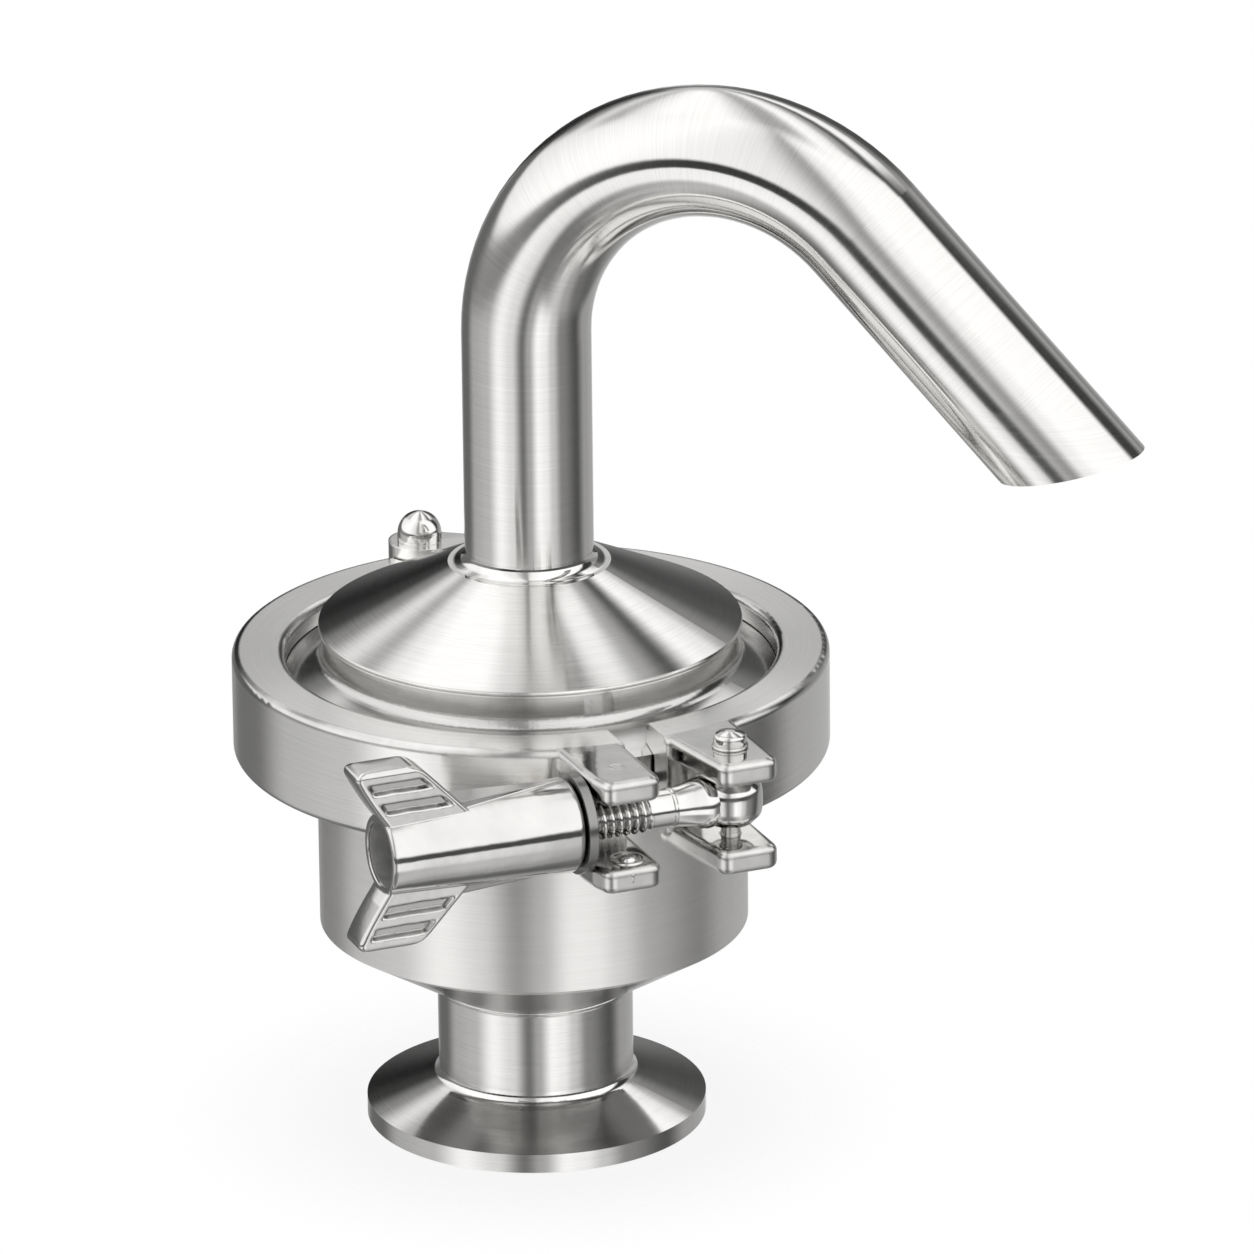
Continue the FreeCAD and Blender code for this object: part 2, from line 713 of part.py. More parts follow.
def make_outlet_cone():
    rim = f"({COVER} / 2 + cone_overhang)"
    rim_top = f"({COVER_EDGE} + cone_edge)"
    slope = f"(({COLLAR_BASE} - {rim_top}) / ({rim} - {COLLAR_RADIUS}))"
    inner_rim = f"({COVER} / 2 - cover_wall)"
    body = new_body("outlet_cone")
    profile = new_sketch(body, "XZ_Plane", "cone_profile")
    outline(profile, [
        (inner_rim, COVER_EDGE),
        (rim, COVER_EDGE),
        (rim, rim_top),
        (COLLAR_RADIUS, COLLAR_BASE),
        ("outlet_tube / 2", COLLAR_BASE),
        ("outlet_tube / 2", COLLAR_TOP),
        (f"{OUTLET_BORE} / 2", COLLAR_TOP),
        (f"{OUTLET_BORE} / 2", f"{COVER_EDGE} + ({inner_rim} - {OUTLET_BORE} / 2) * {slope}"),
    ])
    revolve(body, profile)
    soften(body, "collar_round", "collar_fillet", on_circle("outlet_tube / 2", COLLAR_BASE))
    keep(body, "outlet_cone")


def make_gooseneck_tube():
    """Riser, bend and tail of one tube, cut off aslant at its mouth."""
    body = new_body("gooseneck_tube")
    path = new_sketch(body, "XZ_Plane", "bend_path")
    start = Vector(0, number(COLLAR_TOP), 0)
    bend_start = Vector(0, number(BEND_START), 0)
    centre = Vector(number("bend_radius"), number(BEND_START), 0)
    turn = math.radians(number("180 - bend_angle"))
    tail_x = "(bend_radius + bend_radius * cos(180 - bend_angle))"
    tail_z = f"({BEND_START} + bend_radius * sin(180 - bend_angle))"
    reach = "(tail_length + outlet_tube)"
    end_x = f"{tail_x} + {reach} * sin(bend_angle)"
    end_z = f"{tail_z} + {reach} * cos(bend_angle)"
    bend = Part.ArcOfCircle(Part.Circle(centre, Z_AXIS, number("bend_radius")), turn, math.pi)
    tail_start = Vector(number(tail_x), number(tail_z), 0)
    path.addGeometry(Part.LineSegment(start, bend_start))
    path.addGeometry(bend)
    path.addGeometry(Part.LineSegment(tail_start, Vector(number(end_x), number(end_z), 0)))
    path.addConstraint(Sketcher.Constraint("Coincident", 0, 2, 1, 2))
    path.addConstraint(Sketcher.Constraint("Tangent", 1, 1, 2, 1))
    pin_point(path, 0, 1, "0", COLLAR_TOP)
    pin_point(path, 0, 2, "0", BEND_START)
    pin_point(path, 1, 3, "bend_radius", BEND_START)
    pin_point(path, 2, 2, end_x, end_z)
    section = new_sketch(body, "XY_Plane", "tube_section", COLLAR_TOP)
    circle(section, "0", "0", "outlet_tube / 2")
    circle(section, "0", "0", f"{OUTLET_BORE} / 2")
    tube = body.newObject("PartDesign::AdditivePipe", "tube_pipe")
    tube.Profile = section
    tube.Spine = path
    doc.recompute()
    mouth = new_sketch(body, "XZ_Plane", "mouth_cut")
    along = "(bend_angle + tail_cut)"
    cut_x = f"({tail_x} + tail_length * sin(bend_angle))"
    cut_z = f"({tail_z} + tail_length * cos(bend_angle))"
    tool = "(2 * outlet_tube)"
    corners = []
    for side, depth in (("+", "0"), ("+", tool), ("-", tool), ("-", "0")):
        x = f"{cut_x} + {depth} * sin({along}) {side} {tool} * cos({along})"
        z = f"{cut_z} + {depth} * cos({along}) {'-' if side == '+' else '+'} {tool} * sin({along})"
        corners.append((x, z))
    outline(mouth, corners)
    pocket(body, mouth, tool, middle=True)
    keep(body, "gooseneck_tube")


# Clamp halves and hinge


def half_ring(label, side):
    """One half of the clamp's ring; side is -1 for the left half and 1 for the right."""
    body = new_body(label)
    lip_half = f"({RIM_HALF} + clamp_grip * tan(flange_taper) + taper_clearance)"
    groove_half = f"({RIM_HALF} - groove_clearance * tan(flange_taper) + taper_clearance)"
    section = new_sketch(body, "XZ_Plane", label + "_section")
    outline(section, [
        (LIP_RADIUS, CLAMP_TOP),
        (CLAMP_RADIUS, CLAMP_TOP),
        (CLAMP_RADIUS, CLAMP_BASE),
        (LIP_RADIUS, CLAMP_BASE),
        (LIP_RADIUS, f"{JOINT_PLANE} - {lip_half}"),
        (GROOVE_RADIUS, f"{JOINT_PLANE} - {groove_half}"),
        (GROOVE_RADIUS, f"{JOINT_PLANE} + {groove_half}"),
        (LIP_RADIUS, f"{JOINT_PLANE} + {lip_half}"),
    ])
    revolve(body, section)
    corners = [on_circle(r, z) for r in (CLAMP_RADIUS, LIP_RADIUS) for z in (CLAMP_TOP, CLAMP_BASE)]
    soften(body, label + "_edges", "clamp_edge", lambda edge: any(corner(edge) for corner in corners))
    away = new_sketch(body, "XY_Plane", label + "_away", JOINT_PLANE)
    outline(away, [
        (f"{side} * clamp_gap / 2", "-cutter_reach"),
        (f"{side} * clamp_gap / 2", "0"),
        (f"{side} * hinge_split / 2", "0"),
        (f"{side} * hinge_split / 2", "cutter_reach"),
        (f"{-side} * cutter_reach", "cutter_reach"),
        (f"{-side} * cutter_reach", "-cutter_reach"),
    ])
    pocket(body, away, "cutter_reach", middle=True)
    return body


def root_corner(x):
    """A lug's corner that is buried in the ring, at the root's radius."""
    return (x, f"-sqrt({LUG_ROOT} * {LUG_ROOT} - ({x}) * ({x}))")


def lug(label, corners):
    """A forged upper lug with rounded corners and edges."""
    body = new_body(label)
    plan = outline(new_sketch(body, "XY_Plane", label + "_plan", LUG_LEVEL), corners)
    pad(body, plan, LUG_HEIGHT)
    tip = number(LUG_TIP)
    root = number(LUG_ROOT)
    levels = (number(LUG_LEVEL), number(CLAMP_TOP))

    def is_tip_corner(edge):
        box = edge.BoundBox
        upright = box.XLength < CLOSE and box.YLength < CLOSE
        return upright and abs(box.Center.y + tip) < CLOSE

    def is_rim(edge):
        box = edge.BoundBox
        flat = box.ZLength < CLOSE and any(abs(box.Center.z - level) < CLOSE for level in levels)
        return flat and box.Center.y < -root

    soften(body, label + "_corners", "lug_corner", is_tip_corner)
    soften(body, label + "_edges", "lug_edge", is_rim)
    return body


def relief_corners():
    """The left lugs' outer corners, on the arc that the swinging washer clears."""
    corners = []
    for step in range(1, RELIEF_STEPS + 1):
        angle = f"({step} / {RELIEF_STEPS} * asin(lug_beyond_bolt / {RELIEF_RADIUS}))"
        corners.append((f"eye_offset - {RELIEF_RADIUS} * cos({angle})",
                        f"-{BOLT_REACH} - {RELIEF_RADIUS} * sin({angle})"))
    return corners


def make_left_half():
    ring = half_ring("left_ring", -1)
    plate = lug("left_lug", [
        root_corner("-left_lug_face"),
        ("-left_lug_face", f"-{BOLT_REACH}"),
        *relief_corners(),
        ("-clamp_gap / 2", f"-{LUG_TIP}"),
        root_corner("-clamp_gap / 2"),
    ])
    knuckle_base = f"({JOINT_PLANE} - knuckle_half_height + knuckle_gap)"
    knuckle_height = "2 * (knuckle_half_height - knuckle_gap)"
    knuckle = cylinder("left_knuckle", KNUCKLE_RADIUS, knuckle_height, y=HINGE_REACH, z=knuckle_base)
    clear = f"{KNUCKLE_RADIUS} + knuckle_clearance"
    upper = cylinder("left_clear_upper", clear, "clamp_rise",
                     y=HINGE_REACH, z=f"{knuckle_base} + {knuckle_height}")
    lower = cylinder("left_clear_lower", clear, "clamp_drop",
                     y=HINGE_REACH, z=f"{knuckle_base} - clamp_drop")
    lower_lug = mirrored("left_lower_lug", plate, LUG_MIDDLE)
    blank = joined("left_blank", [ring, plate, lower_lug, knuckle])
    cleared = without("left_cleared", blank, joined("left_clearance", [upper, lower]))
    hole = cylinder("left_pin_hole", "hinge_pin_diameter / 2 + pin_clearance", "cutter_reach", y=HINGE_REACH)
    half = without("clamp_half_left", cleared, hole)
    keep(on_clamp(half), "clamp_half_left")


def on_arc(radius, angle):
    """A point of the clamp's frame by its radius and its angle from the hinge."""
    return (f"{radius} * sin({angle})", f"{radius} * cos({angle})")


def make_saddle():
    """The raised plate that carries the hinge pin's head on the right half."""
    saddle = new_body("right_saddle")
    plan = new_sketch(saddle, "XY_Plane", "right_saddle_plan", f"{CLAMP_TOP} - saddle_sink")
    inner = f"({LIP_RADIUS} + saddle_margin)"
    outer = f"({CLAMP_RADIUS} - clamp_edge)"
    outline(plan, [
        ("hinge_split / 2", inner),
        ("hinge_split / 2", f"{HINGE_REACH} + {KNUCKLE_RADIUS}"),
        on_arc(outer, "saddle_shoulder"),
        on_arc(outer, "saddle_end"),
        on_arc(inner, "saddle_end"),
    ])
    pad(saddle, plan, "knuckle_rise + saddle_sink")
    return saddle


def make_right_half():
    ring = half_ring("right_ring", 1)
    plate = lug("right_lug", [
        root_corner("(eye_offset + right_lug_far)"),
        ("eye_offset + right_lug_far", f"-{LUG_TIP}"),
        ("eye_offset - right_lug_near", f"-{LUG_TIP}"),
        root_corner("clamp_gap / 2"),
    ])
    clear = cylinder("right_clear", f"{KNUCKLE_RADIUS} + knuckle_clearance", "2 * knuckle_half_height",
                     y=HINGE_REACH, z=f"{JOINT_PLANE} - knuckle_half_height")
    lower_lug = mirrored("right_lower_lug", plate, LUG_MIDDLE)
    blank = without("right_cleared", joined("right_ring_lugs", [ring, plate, lower_lug]), clear)
    upper = cylinder("right_knuckle_upper", KNUCKLE_RADIUS, "clamp_rise - knuckle_half_height + knuckle_rise",
                     y=HINGE_REACH, z=f"{JOINT_PLANE} + knuckle_half_height")
    lower = cylinder("right_knuckle_lower", KNUCKLE_RADIUS, "clamp_drop - knuckle_half_height",
                     y=HINGE_REACH, z=CLAMP_BASE)
    whole = joined("right_blank", [blank, upper, lower, make_saddle()])
    hinge_hole = cylinder("right_pin_hole", "hinge_pin_diameter / 2 + pin_clearance", "cutter_reach",
                          y=HINGE_REACH)
    eye_hole = cylinder("right_eye_hole", "eye_pin_diameter / 2 + pin_clearance", "cutter_reach",
                        x="eye_offset", y=f"-{BOLT_REACH}")
    half = without("clamp_half_right", whole, joined("right_holes", [hinge_hole, eye_hole]))
    keep(on_clamp(half), "clamp_half_right")


def make_pin(label, radius, base, top, head, collar):
    """A headed pin: tapered tail, shank, short collar and a domed head."""
    body = new_body(label)
    profile = new_sketch(body, "XZ_Plane", label + "_profile")
    outline(profile, [
        ("0", f"{base} - pin_tail"),
        (f"{radius} - pin_tail_taper", f"{base} - pin_tail"),
        (radius, base),
        (radius, top),
        (head, top),
        (head, f"{top} + {collar}"),
        ("0", f"{top} + {collar}"),
    ])
    revolve(body, profile)
    dome = body.newObject("PartDesign::AdditiveSphere", label + "_dome")
    dome.Angle1 = 0
    tie(dome, Radius=head, Placement__Base__z=f"{top} + {collar}")
    doc.recompute()
    return body


def make_pins():
    hinge = make_pin("hinge_pin", "hinge_pin_diameter / 2", CLAMP_BASE, f"{CLAMP_TOP} + knuckle_rise",
                     "hinge_pin_diameter / 2 + hinge_head_step", "hinge_head_collar")
    keep(on_clamp(hinge, y=HINGE_REACH), "hinge_pin")
    eye = make_pin("eye_pin", "eye_pin_diameter / 2", LUG_BASE, CLAMP_TOP,
                   "eye_pin_diameter / 2 + eye_head_step", "eye_head_collar")
    keep(on_clamp(eye, x="eye_offset", y=f"-{BOLT_REACH}"), "eye_pin")


# Eye bolt, washer and wing nut: the bolt's eye is centred on its own origin,
# the thread runs towards -X, and the nut starts at its own origin


def on_bolt(item, x="eye_offset"):
    """Place a piece of the bolt's group, whose axis lies in the joint plane."""
    return on_clamp(item, x=x, y=f"-{BOLT_REACH}", z=JOINT_PLANE)


def make_eye_bolt():
    body = new_body("eye_bolt")
    profile = new_sketch(body, "XZ_Plane", "bolt_profile")
    outline(profile, [
        ("-bolt_length", "0"),
        ("-bolt_length", "bolt_diameter / 2 - nut_chamfer"),
        ("-bolt_length + nut_chamfer", "bolt_diameter / 2"),
        (f"-{NECK_FAR}", "bolt_diameter / 2"),
        ("-neck_near", f"{EYE_RADIUS} - neck_step"),
        ("0", f"{EYE_RADIUS} - neck_step - nut_chamfer"),
        ("0", "0"),
    ])
    revolve(body, profile, axis="H_Axis")
    ball = body.newObject("PartDesign::AdditiveSphere", "eye_ball")
    tie(ball, Radius=EYE_RADIUS)
    doc.recompute()
    flats = new_sketch(body, "XZ_Plane", "eye_flats")
    for side in (1, -1):
        outline(flats, [
            ("-neck_near - flat_overlap", f"{side} * {EYE_HEIGHT} / 2"),
            (f"2 * {EYE_RADIUS}", f"{side} * {EYE_HEIGHT} / 2"),
            (f"2 * {EYE_RADIUS}", f"{side} * 2 * {EYE_RADIUS}"),
            ("-neck_near - flat_overlap", f"{side} * 2 * {EYE_RADIUS}"),
        ])
    pocket(body, flats, f"4 * {EYE_RADIUS}", middle=True)
    hole = new_sketch(body, "XY_Plane", "eye_hole", f"-{EYE_HEIGHT}")
    circle(hole, "0", "0", "eye_pin_diameter / 2 + 2 * pin_clearance")
    pocket(body, hole, f"2 * {EYE_HEIGHT}", backwards=True)
    keep(on_bolt(body), "eye_bolt")


def make_thrust_washer():
    body = new_body("thrust_washer")
    profile = new_sketch(body, "XZ_Plane", "washer_profile")
    near = f"-{RELIEF_RADIUS} - washer_gap"
    outline(profile, [
        (near, THREAD_BORE),
        (near, f"{THREAD_BORE} + washer_wall"),
        (f"{near} - washer_thickness", f"{THREAD_BORE} + washer_wall"),
        (f"{near} - washer_thickness", THREAD_BORE),
    ])
    revolve(body, profile, axis="H_Axis")
    keep(on_bolt(body), "thrust_washer")


def leaning(level, corner):
    """How far along the nut a corner of the wing lies at a level, near or far."""
    root, tip = (ROOT_NEAR, TIP_NEAR) if corner == "near" else (ROOT_FAR, TIP_FAR)
    return f"({root} + ({level} - {WING_ROOT}) / wing_rise * ({tip} - {root}))"


def grip_corners(side, low, high):
    """One grip groove, parallel to the wing's leaning sides, between two levels."""
    corners = []
    for level, corner in ((low, "near"), (high, "near"), (high, "far"), (low, "far")):
        inwards = "+" if corner == "near" else "-"
        corners.append((f"-({leaning(level, corner)} {inwards} grip_frame)", f"{side} * {level}"))
    return corners


def make_wing(name, side):
    """A thick leaning wing with rounded edges and two grip grooves in each face."""
    body = new_body(name)
    plan = outline(new_sketch(body, "XZ_Plane", name + "_plan"), [
        (f"-{ROOT_NEAR}", f"{side} * {WING_ROOT}"),
        (f"-{TIP_NEAR}", f"{side} * {WING_TIP}"),
        (f"-{TIP_FAR}", f"{side} * {WING_TIP}"),
        (f"-{ROOT_FAR}", f"{side} * {WING_ROOT}"),
    ])
    pad(body, plan, "wing_thickness", middle=True)
    tip = number(WING_TIP)
    root = number(WING_ROOT)
    face = number("wing_thickness / 2")

    def is_tip_edge(edge):
        box = edge.BoundBox
        across = box.XLength < CLOSE and box.ZLength < CLOSE
        return across and abs(abs(box.Center.z) - tip) < CLOSE

    def is_rim(edge):
        box = edge.BoundBox
        flat = box.YLength < CLOSE and abs(abs(box.Center.y) - face) < CLOSE
        return flat and abs(box.Center.z) > root + CLOSE

    soften(body, name + "_corners", "wing_corner", is_tip_edge)
    soften(body, name + "_edges", "wing_edge", is_rim)
    lowest = f"({NUT_END} + grip_frame / 2)"
    highest = f"({WING_TIP} - grip_frame)"
    middle = f"(({lowest} + {highest}) / 2)"
    for towards, facing in ((1, "front"), (-1, "back")):
        grip = new_sketch(body, "XZ_Plane", f"{name}_grip_{facing}", f"{towards} * wing_thickness / 2")
        outline(grip, grip_corners(side, lowest, f"({middle} - grip_bar / 2)"))
        outline(grip, grip_corners(side, f"({middle} + grip_bar / 2)", highest))
        pocket(body, grip, "grip_depth", backwards=towards == -1)
    return body


def make_rib(name):
    """The parting rib that widens along the barrel from its face to the wing."""
    body = new_body(name)
    plan = outline(new_sketch(body, "XY_Plane", name + "_plan", WING_ROOT), [
        ("-nut_chamfer", "0"),
        (f"-{ROOT_NEAR} - rib_overlap", "wing_thickness / 2 - wing_edge"),
        (f"-{ROOT_NEAR} - rib_overlap", "wing_edge - wing_thickness / 2"),
    ])
    pad(body, plan, f"{NUT_RADIUS} + rib_rise - {WING_ROOT}")
    return body


def make_wing_nut():
    barrel = new_body("nut_barrel")
    profile = new_sketch(barrel, "XZ_Plane", "nut_profile")
    outline(profile, [
        ("0", THREAD_BORE),
        ("0", f"{NUT_RADIUS} - nut_chamfer"),
        ("-nut_chamfer", NUT_RADIUS),
        ("-nut_length + nut_chamfer", NUT_END),
        ("-nut_length", f"{NUT_END} - nut_chamfer"),
        ("-nut_length", NUT_HOLE),
        ("-nut_length + nut_hole_depth", NUT_HOLE),
        ("-nut_length + nut_hole_depth", THREAD_BORE),
    ])
    revolve(barrel, profile, axis="H_Axis")
    rib = make_rib("upper_rib")
    ribs = [rib, mirrored("lower_rib", rib, "0")]
    wings = [make_wing("upper_wing", 1), make_wing("lower_wing", -1)]
    nut = joined("wing_nut", [barrel, *ribs, *wings])
    keep(on_bolt(nut, f"-{NUT_FACE}"), "wing_nut")


def check_document():
    """Stop at any object that failed, and at any sub-part that is no valid solid."""
    doc.recompute()
    for item in doc.Objects:
        if {"Invalid", "Error"} & set(item.State):
            raise RuntimeError(f"{item.Name} failed: {item.State}")
    for item in SUB_PARTS:
        if item.Shape.isNull() or not item.Shape.isValid():
            raise RuntimeError(item.Label + " has no valid shape")


def write_parts():
    os.makedirs("parts", exist_ok=True)
    for item in SUB_PARTS:
        item.Shape.exportStep(f"parts/{item.Label}.step")
        print(item.Label, len(item.Shape.Solids), round(item.Shape.Volume, 2))


make_inlet_ferrule()
make_body_shell()
make_body_flange()
make_clamp_gasket()
make_seat_ring()
make_poppet()
make_valve_spring()
make_spring_plate()
make_guide_spider()
make_adjusting_screw()
make_outlet_flange()
make_outlet_cone()
make_gooseneck_tube()
make_left_half()
make_right_half()
make_pins()
make_eye_bolt()
make_thrust_washer()
make_wing_nut()
check_document()
write_parts()
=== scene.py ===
import math

import bmesh
import bpy
from mathutils import Matrix, Vector


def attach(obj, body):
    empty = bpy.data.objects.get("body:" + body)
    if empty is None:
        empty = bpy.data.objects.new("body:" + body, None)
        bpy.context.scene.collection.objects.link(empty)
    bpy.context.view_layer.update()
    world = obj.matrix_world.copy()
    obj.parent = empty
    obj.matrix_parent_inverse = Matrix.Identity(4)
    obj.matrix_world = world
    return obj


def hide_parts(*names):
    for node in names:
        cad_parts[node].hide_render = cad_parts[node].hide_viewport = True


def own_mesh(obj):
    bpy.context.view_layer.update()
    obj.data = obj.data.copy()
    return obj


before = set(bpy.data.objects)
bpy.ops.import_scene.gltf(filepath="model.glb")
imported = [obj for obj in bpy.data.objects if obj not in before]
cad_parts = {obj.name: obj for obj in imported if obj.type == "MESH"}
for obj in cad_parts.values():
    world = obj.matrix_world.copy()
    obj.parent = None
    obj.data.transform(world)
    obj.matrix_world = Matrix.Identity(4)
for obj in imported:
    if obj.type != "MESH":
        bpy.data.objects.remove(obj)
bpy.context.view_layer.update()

MM = 0.001

# Camera: a long lens, found by fitting the ellipses of the rims
PHOTO_SIZE = 1254
FOCAL_PIXELS = 12000
SENSOR = 36.0
DISTANCE = 1.791
VIEW_AZIMUTH = math.radians(22.5)
ELEVATION = math.radians(20.49)
ROLL = math.radians(-0.62)
ORIGIN_PIXEL = (536.94, 1106.52)
SIDEWAYS = (math.cos(VIEW_AZIMUTH), math.sin(VIEW_AZIMUTH), 0)
FORWARDS = (math.sin(VIEW_AZIMUTH), -math.cos(VIEW_AZIMUTH), 0)

# The clamp's frame, in millimetres: the hinge is at +Y, the lugs at -Y
CLAMP = Matrix.Rotation(math.radians(45), 4, "Z")
JOINT_PLANE = 65.8
BOLT_PLACE = (10.3, -50.5, JOINT_PLANE)
NUT_PLACE = (-14.66, -50.5, JOINT_PLANE)


def make_camera():
    data = bpy.data.cameras.new("camera")
    data.sensor_width = SENSOR
    data.lens = FOCAL_PIXELS * SENSOR / PHOTO_SIZE
    data.clip_start = 0.05
    data.clip_end = 50
    camera = bpy.data.objects.new("camera", data)
    bpy.context.collection.objects.link(camera)
    forward = Vector((0, math.cos(ELEVATION), -math.sin(ELEVATION)))
    level_right = Vector((1, 0, 0))
    level_up = Vector((0, math.sin(ELEVATION), math.cos(ELEVATION)))
    right = math.cos(ROLL) * level_right + math.sin(ROLL) * level_up
    up = -math.sin(ROLL) * level_right + math.cos(ROLL) * level_up
    half = PHOTO_SIZE / 2
    off_right = (ORIGIN_PIXEL[0] - half) * DISTANCE / FOCAL_PIXELS
    off_up = -(ORIGIN_PIXEL[1] - half) * DISTANCE / FOCAL_PIXELS
    place = -(forward * DISTANCE + right * off_right + up * off_up)
    turn = Matrix.Rotation(VIEW_AZIMUTH, 4, "Z")
    axes = Matrix((right, up, -forward)).transposed().to_4x4()
    camera.matrix_world = turn @ Matrix.Translation(place) @ axes
    bpy.context.scene.camera = camera


class Graph:
    """A node tree with short calls for the nodes that the materials share."""

    def __init__(self, tree):
        self.tree = tree
        tree.nodes.clear()

    def node(self, kind, **settings):
        made = self.tree.nodes.new(kind)
        for name, value in settings.items():
            setattr(made, name, value)
        return made

    def put(self, socket, value):
        """Link a socket to another one, or write a constant on it."""
        if isinstance(value, bpy.types.NodeSocket):
            self.tree.links.new(value, socket)
        else:
            socket.default_value = value

    def place(self):
        """A point's place in the object's own coordinates, in metres."""
        return self.node("ShaderNodeTexCoord").outputs["Object"]

    def math(self, operation, first, second=0.0, third=0.0):
        made = self.node("ShaderNodeMath", operation=operation)
        for socket, value in zip(made.inputs, (first, second, third)):
            self.put(socket, value)
        return made.outputs[0]

    def vector_math(self, operation, first, second=(0, 0, 0)):
        made = self.node("ShaderNodeVectorMath", operation=operation)
        self.put(made.inputs[0], first)
        self.put(made.inputs[1], second)
        return made.outputs["Value" if operation in ("DOT_PRODUCT", "LENGTH") else "Vector"]

    def split(self, vector):
        made = self.node("ShaderNodeSeparateXYZ")
        self.put(made.inputs[0], vector)
        return made.outputs

    def join(self, x=0.0, y=0.0, z=0.0):
        made = self.node("ShaderNodeCombineXYZ")
        for socket, value in zip(made.inputs, (x, y, z)):
            self.put(socket, value)
        return made.outputs[0]

    def smooth(self, value, low, high, start=0.0, end=1.0):
        """The start value up to low, the end value from high on, and a smooth step between them."""
        made = self.node("ShaderNodeMapRange", interpolation_type="SMOOTHSTEP")
        for socket, number in zip(made.inputs, (value, low, high, start, end)):
            self.put(socket, number)
        return made.outputs[0]

    def noise(self, vector, scale, detail=3.0, roughness=0.55):
        made = self.node("ShaderNodeTexNoise")
        self.put(made.inputs["Vector"], vector)
        made.inputs["Scale"].default_value = scale
        made.inputs["Detail"].default_value = detail
        made.inputs["Roughness"].default_value = roughness
        return made.outputs[0]

    def ramp(self, value, *stops, interpolation="LINEAR"):
        """A colour ramp through (place, colour) stops."""
        made = self.node("ShaderNodeValToRGB")
        self.put(made.inputs[0], value)
        made.color_ramp.interpolation = interpolation
        elements = made.color_ramp.elements
        while len(elements) < len(stops):
            elements.new(0.5)
        for element, (place, colour) in zip(elements, stops):
            element.position = place
            element.color = (*colour, 1)
        return made.outputs[0]

    def mix(self, factor, first, second):
        made = self.node("ShaderNodeMix", data_type="RGBA")
        self.put(made.inputs[0], factor)
        self.put(made.inputs[6], first)
        self.put(made.inputs[7], second)
        return made.outputs[2]

    def output(self, shader, kind="Material"):
        made = self.node("ShaderNodeOutput" + kind)
        self.put(made.inputs[0], shader)

    def mix_shaders(self, factor, first, second):
        made = self.node("ShaderNodeMixShader")
        for socket, value in zip(made.inputs, (factor, first, second)):
            self.put(socket, value)
        return made.outputs[0]


def new_material(name):
    material = bpy.data.materials.new(name)
    material.use_nodes = True
    return material, Graph(material.node_tree)


# Studio: white surroundings, and a light tent whose soft boxes and flags only the metal shows
TENT_RADIUS = 1.4
# No level below is more than this
BRIGHTEST = 2.0

# The tent's levels by azimuth in degrees, 0 at the camera's side, for rows from below to above
DOWN_ROW = [(-180, 0.4), (-148, 0.14), (-124, 0.35), (-83, 0.15), (-51, 0.65), (-22, 0.2), (8, 0.25),
            (42, 0.7), (62, 0.45), (90, 0.2), (120, 0.15), (180, 0.5)]
LOW_ROW = [(-180, 0.7), (-168, 0.35), (-150, 0.16), (-130, 0.16), (-106, 0.5), (-76, 0.6), (-50, 1.25),
           (-28, 0.95), (-8, 0.2), (4, 0.5), (20, 1.3), (33, 1.15), (46, 0.75), (64, 0.28), (98, 0.1),
           (122, 0.4), (158, 0.45), (180, 0.8)]
HORIZON_ROW = [(-180, 0.2), (-135, 0.15), (-100, 0.3), (-62, 0.25), (-44, 0.05), (-26, 0.05), (-8, 0.12),
               (12, 0.15), (40, 0.08), (75, 0.12), (105, 0.1), (125, 0.3), (150, 0.3), (180, 0.2)]
HIGH_ROW = [(-180, 0.65), (-160, 1.0), (-60, 1.35), (-30, 1.1), (-6, 0.4), (8, 1.15), (30, 1.35),
            (98, 1.3), (109, 0.05), (123, 0.05), (140, 0.45), (180, 0.65)]
# The tent's ceiling behind the valve, by the heading of the slope that shows it to the camera
CEILING_ROW = [(-180, 0.7), (-120, 0.1), (-90, 0.02), (-78, 0.05), (-68, 0.3), (-57, 0.95), (-48, 0.5),
               (-39, 1.1), (-30, 1.35), (-14, 1.35), (-6, 0.9), (0, 0.45), (7, 0.5), (16, 1.35), (23, 1.2),
               (31, 0.5), (40, 0.08), (49, 1.3), (57, 1.1), (65, 0.3), (78, 0.1), (90, 0.08), (130, 0.2),
               (180, 0.7)]

# Elevations between which one row gives way to the next, in degrees
DOWN_TO_LOW = (-36, -26)
LOW_TO_HORIZON = (-10, -7)
HORIZON_TO_HIGH = (3, 9)
# Tilts of a slope between which the ceiling comes in and goes out again
CEILING_IN = (46, 56)
CEILING_OUT = (78, 88)


def levels(graph, angle, row):
    """The tent's level at an angle in degrees, softly through the stops of a row."""
    place = graph.math("MULTIPLY_ADD", angle, 1 / 360, 0.5)
    stops = [((degrees + 180) / 360, (level / BRIGHTEST,) * 3) for degrees, level in row]
    return graph.ramp(place, *stops, interpolation="EASE")


def heading(graph, direction):
    """A direction's azimuth in degrees, 0 at the camera's side."""
    sideways = graph.vector_math("DOT_PRODUCT", direction, SIDEWAYS)
    forwards = graph.vector_math("DOT_PRODUCT", direction, FORWARDS)
    return graph.math("DEGREES", graph.math("ARCTAN2", sideways, forwards))


def height_angle(graph, direction):
    """A direction's elevation in degrees."""
    return graph.math("DEGREES", graph.math("ARCSINE", graph.split(direction)[2]))


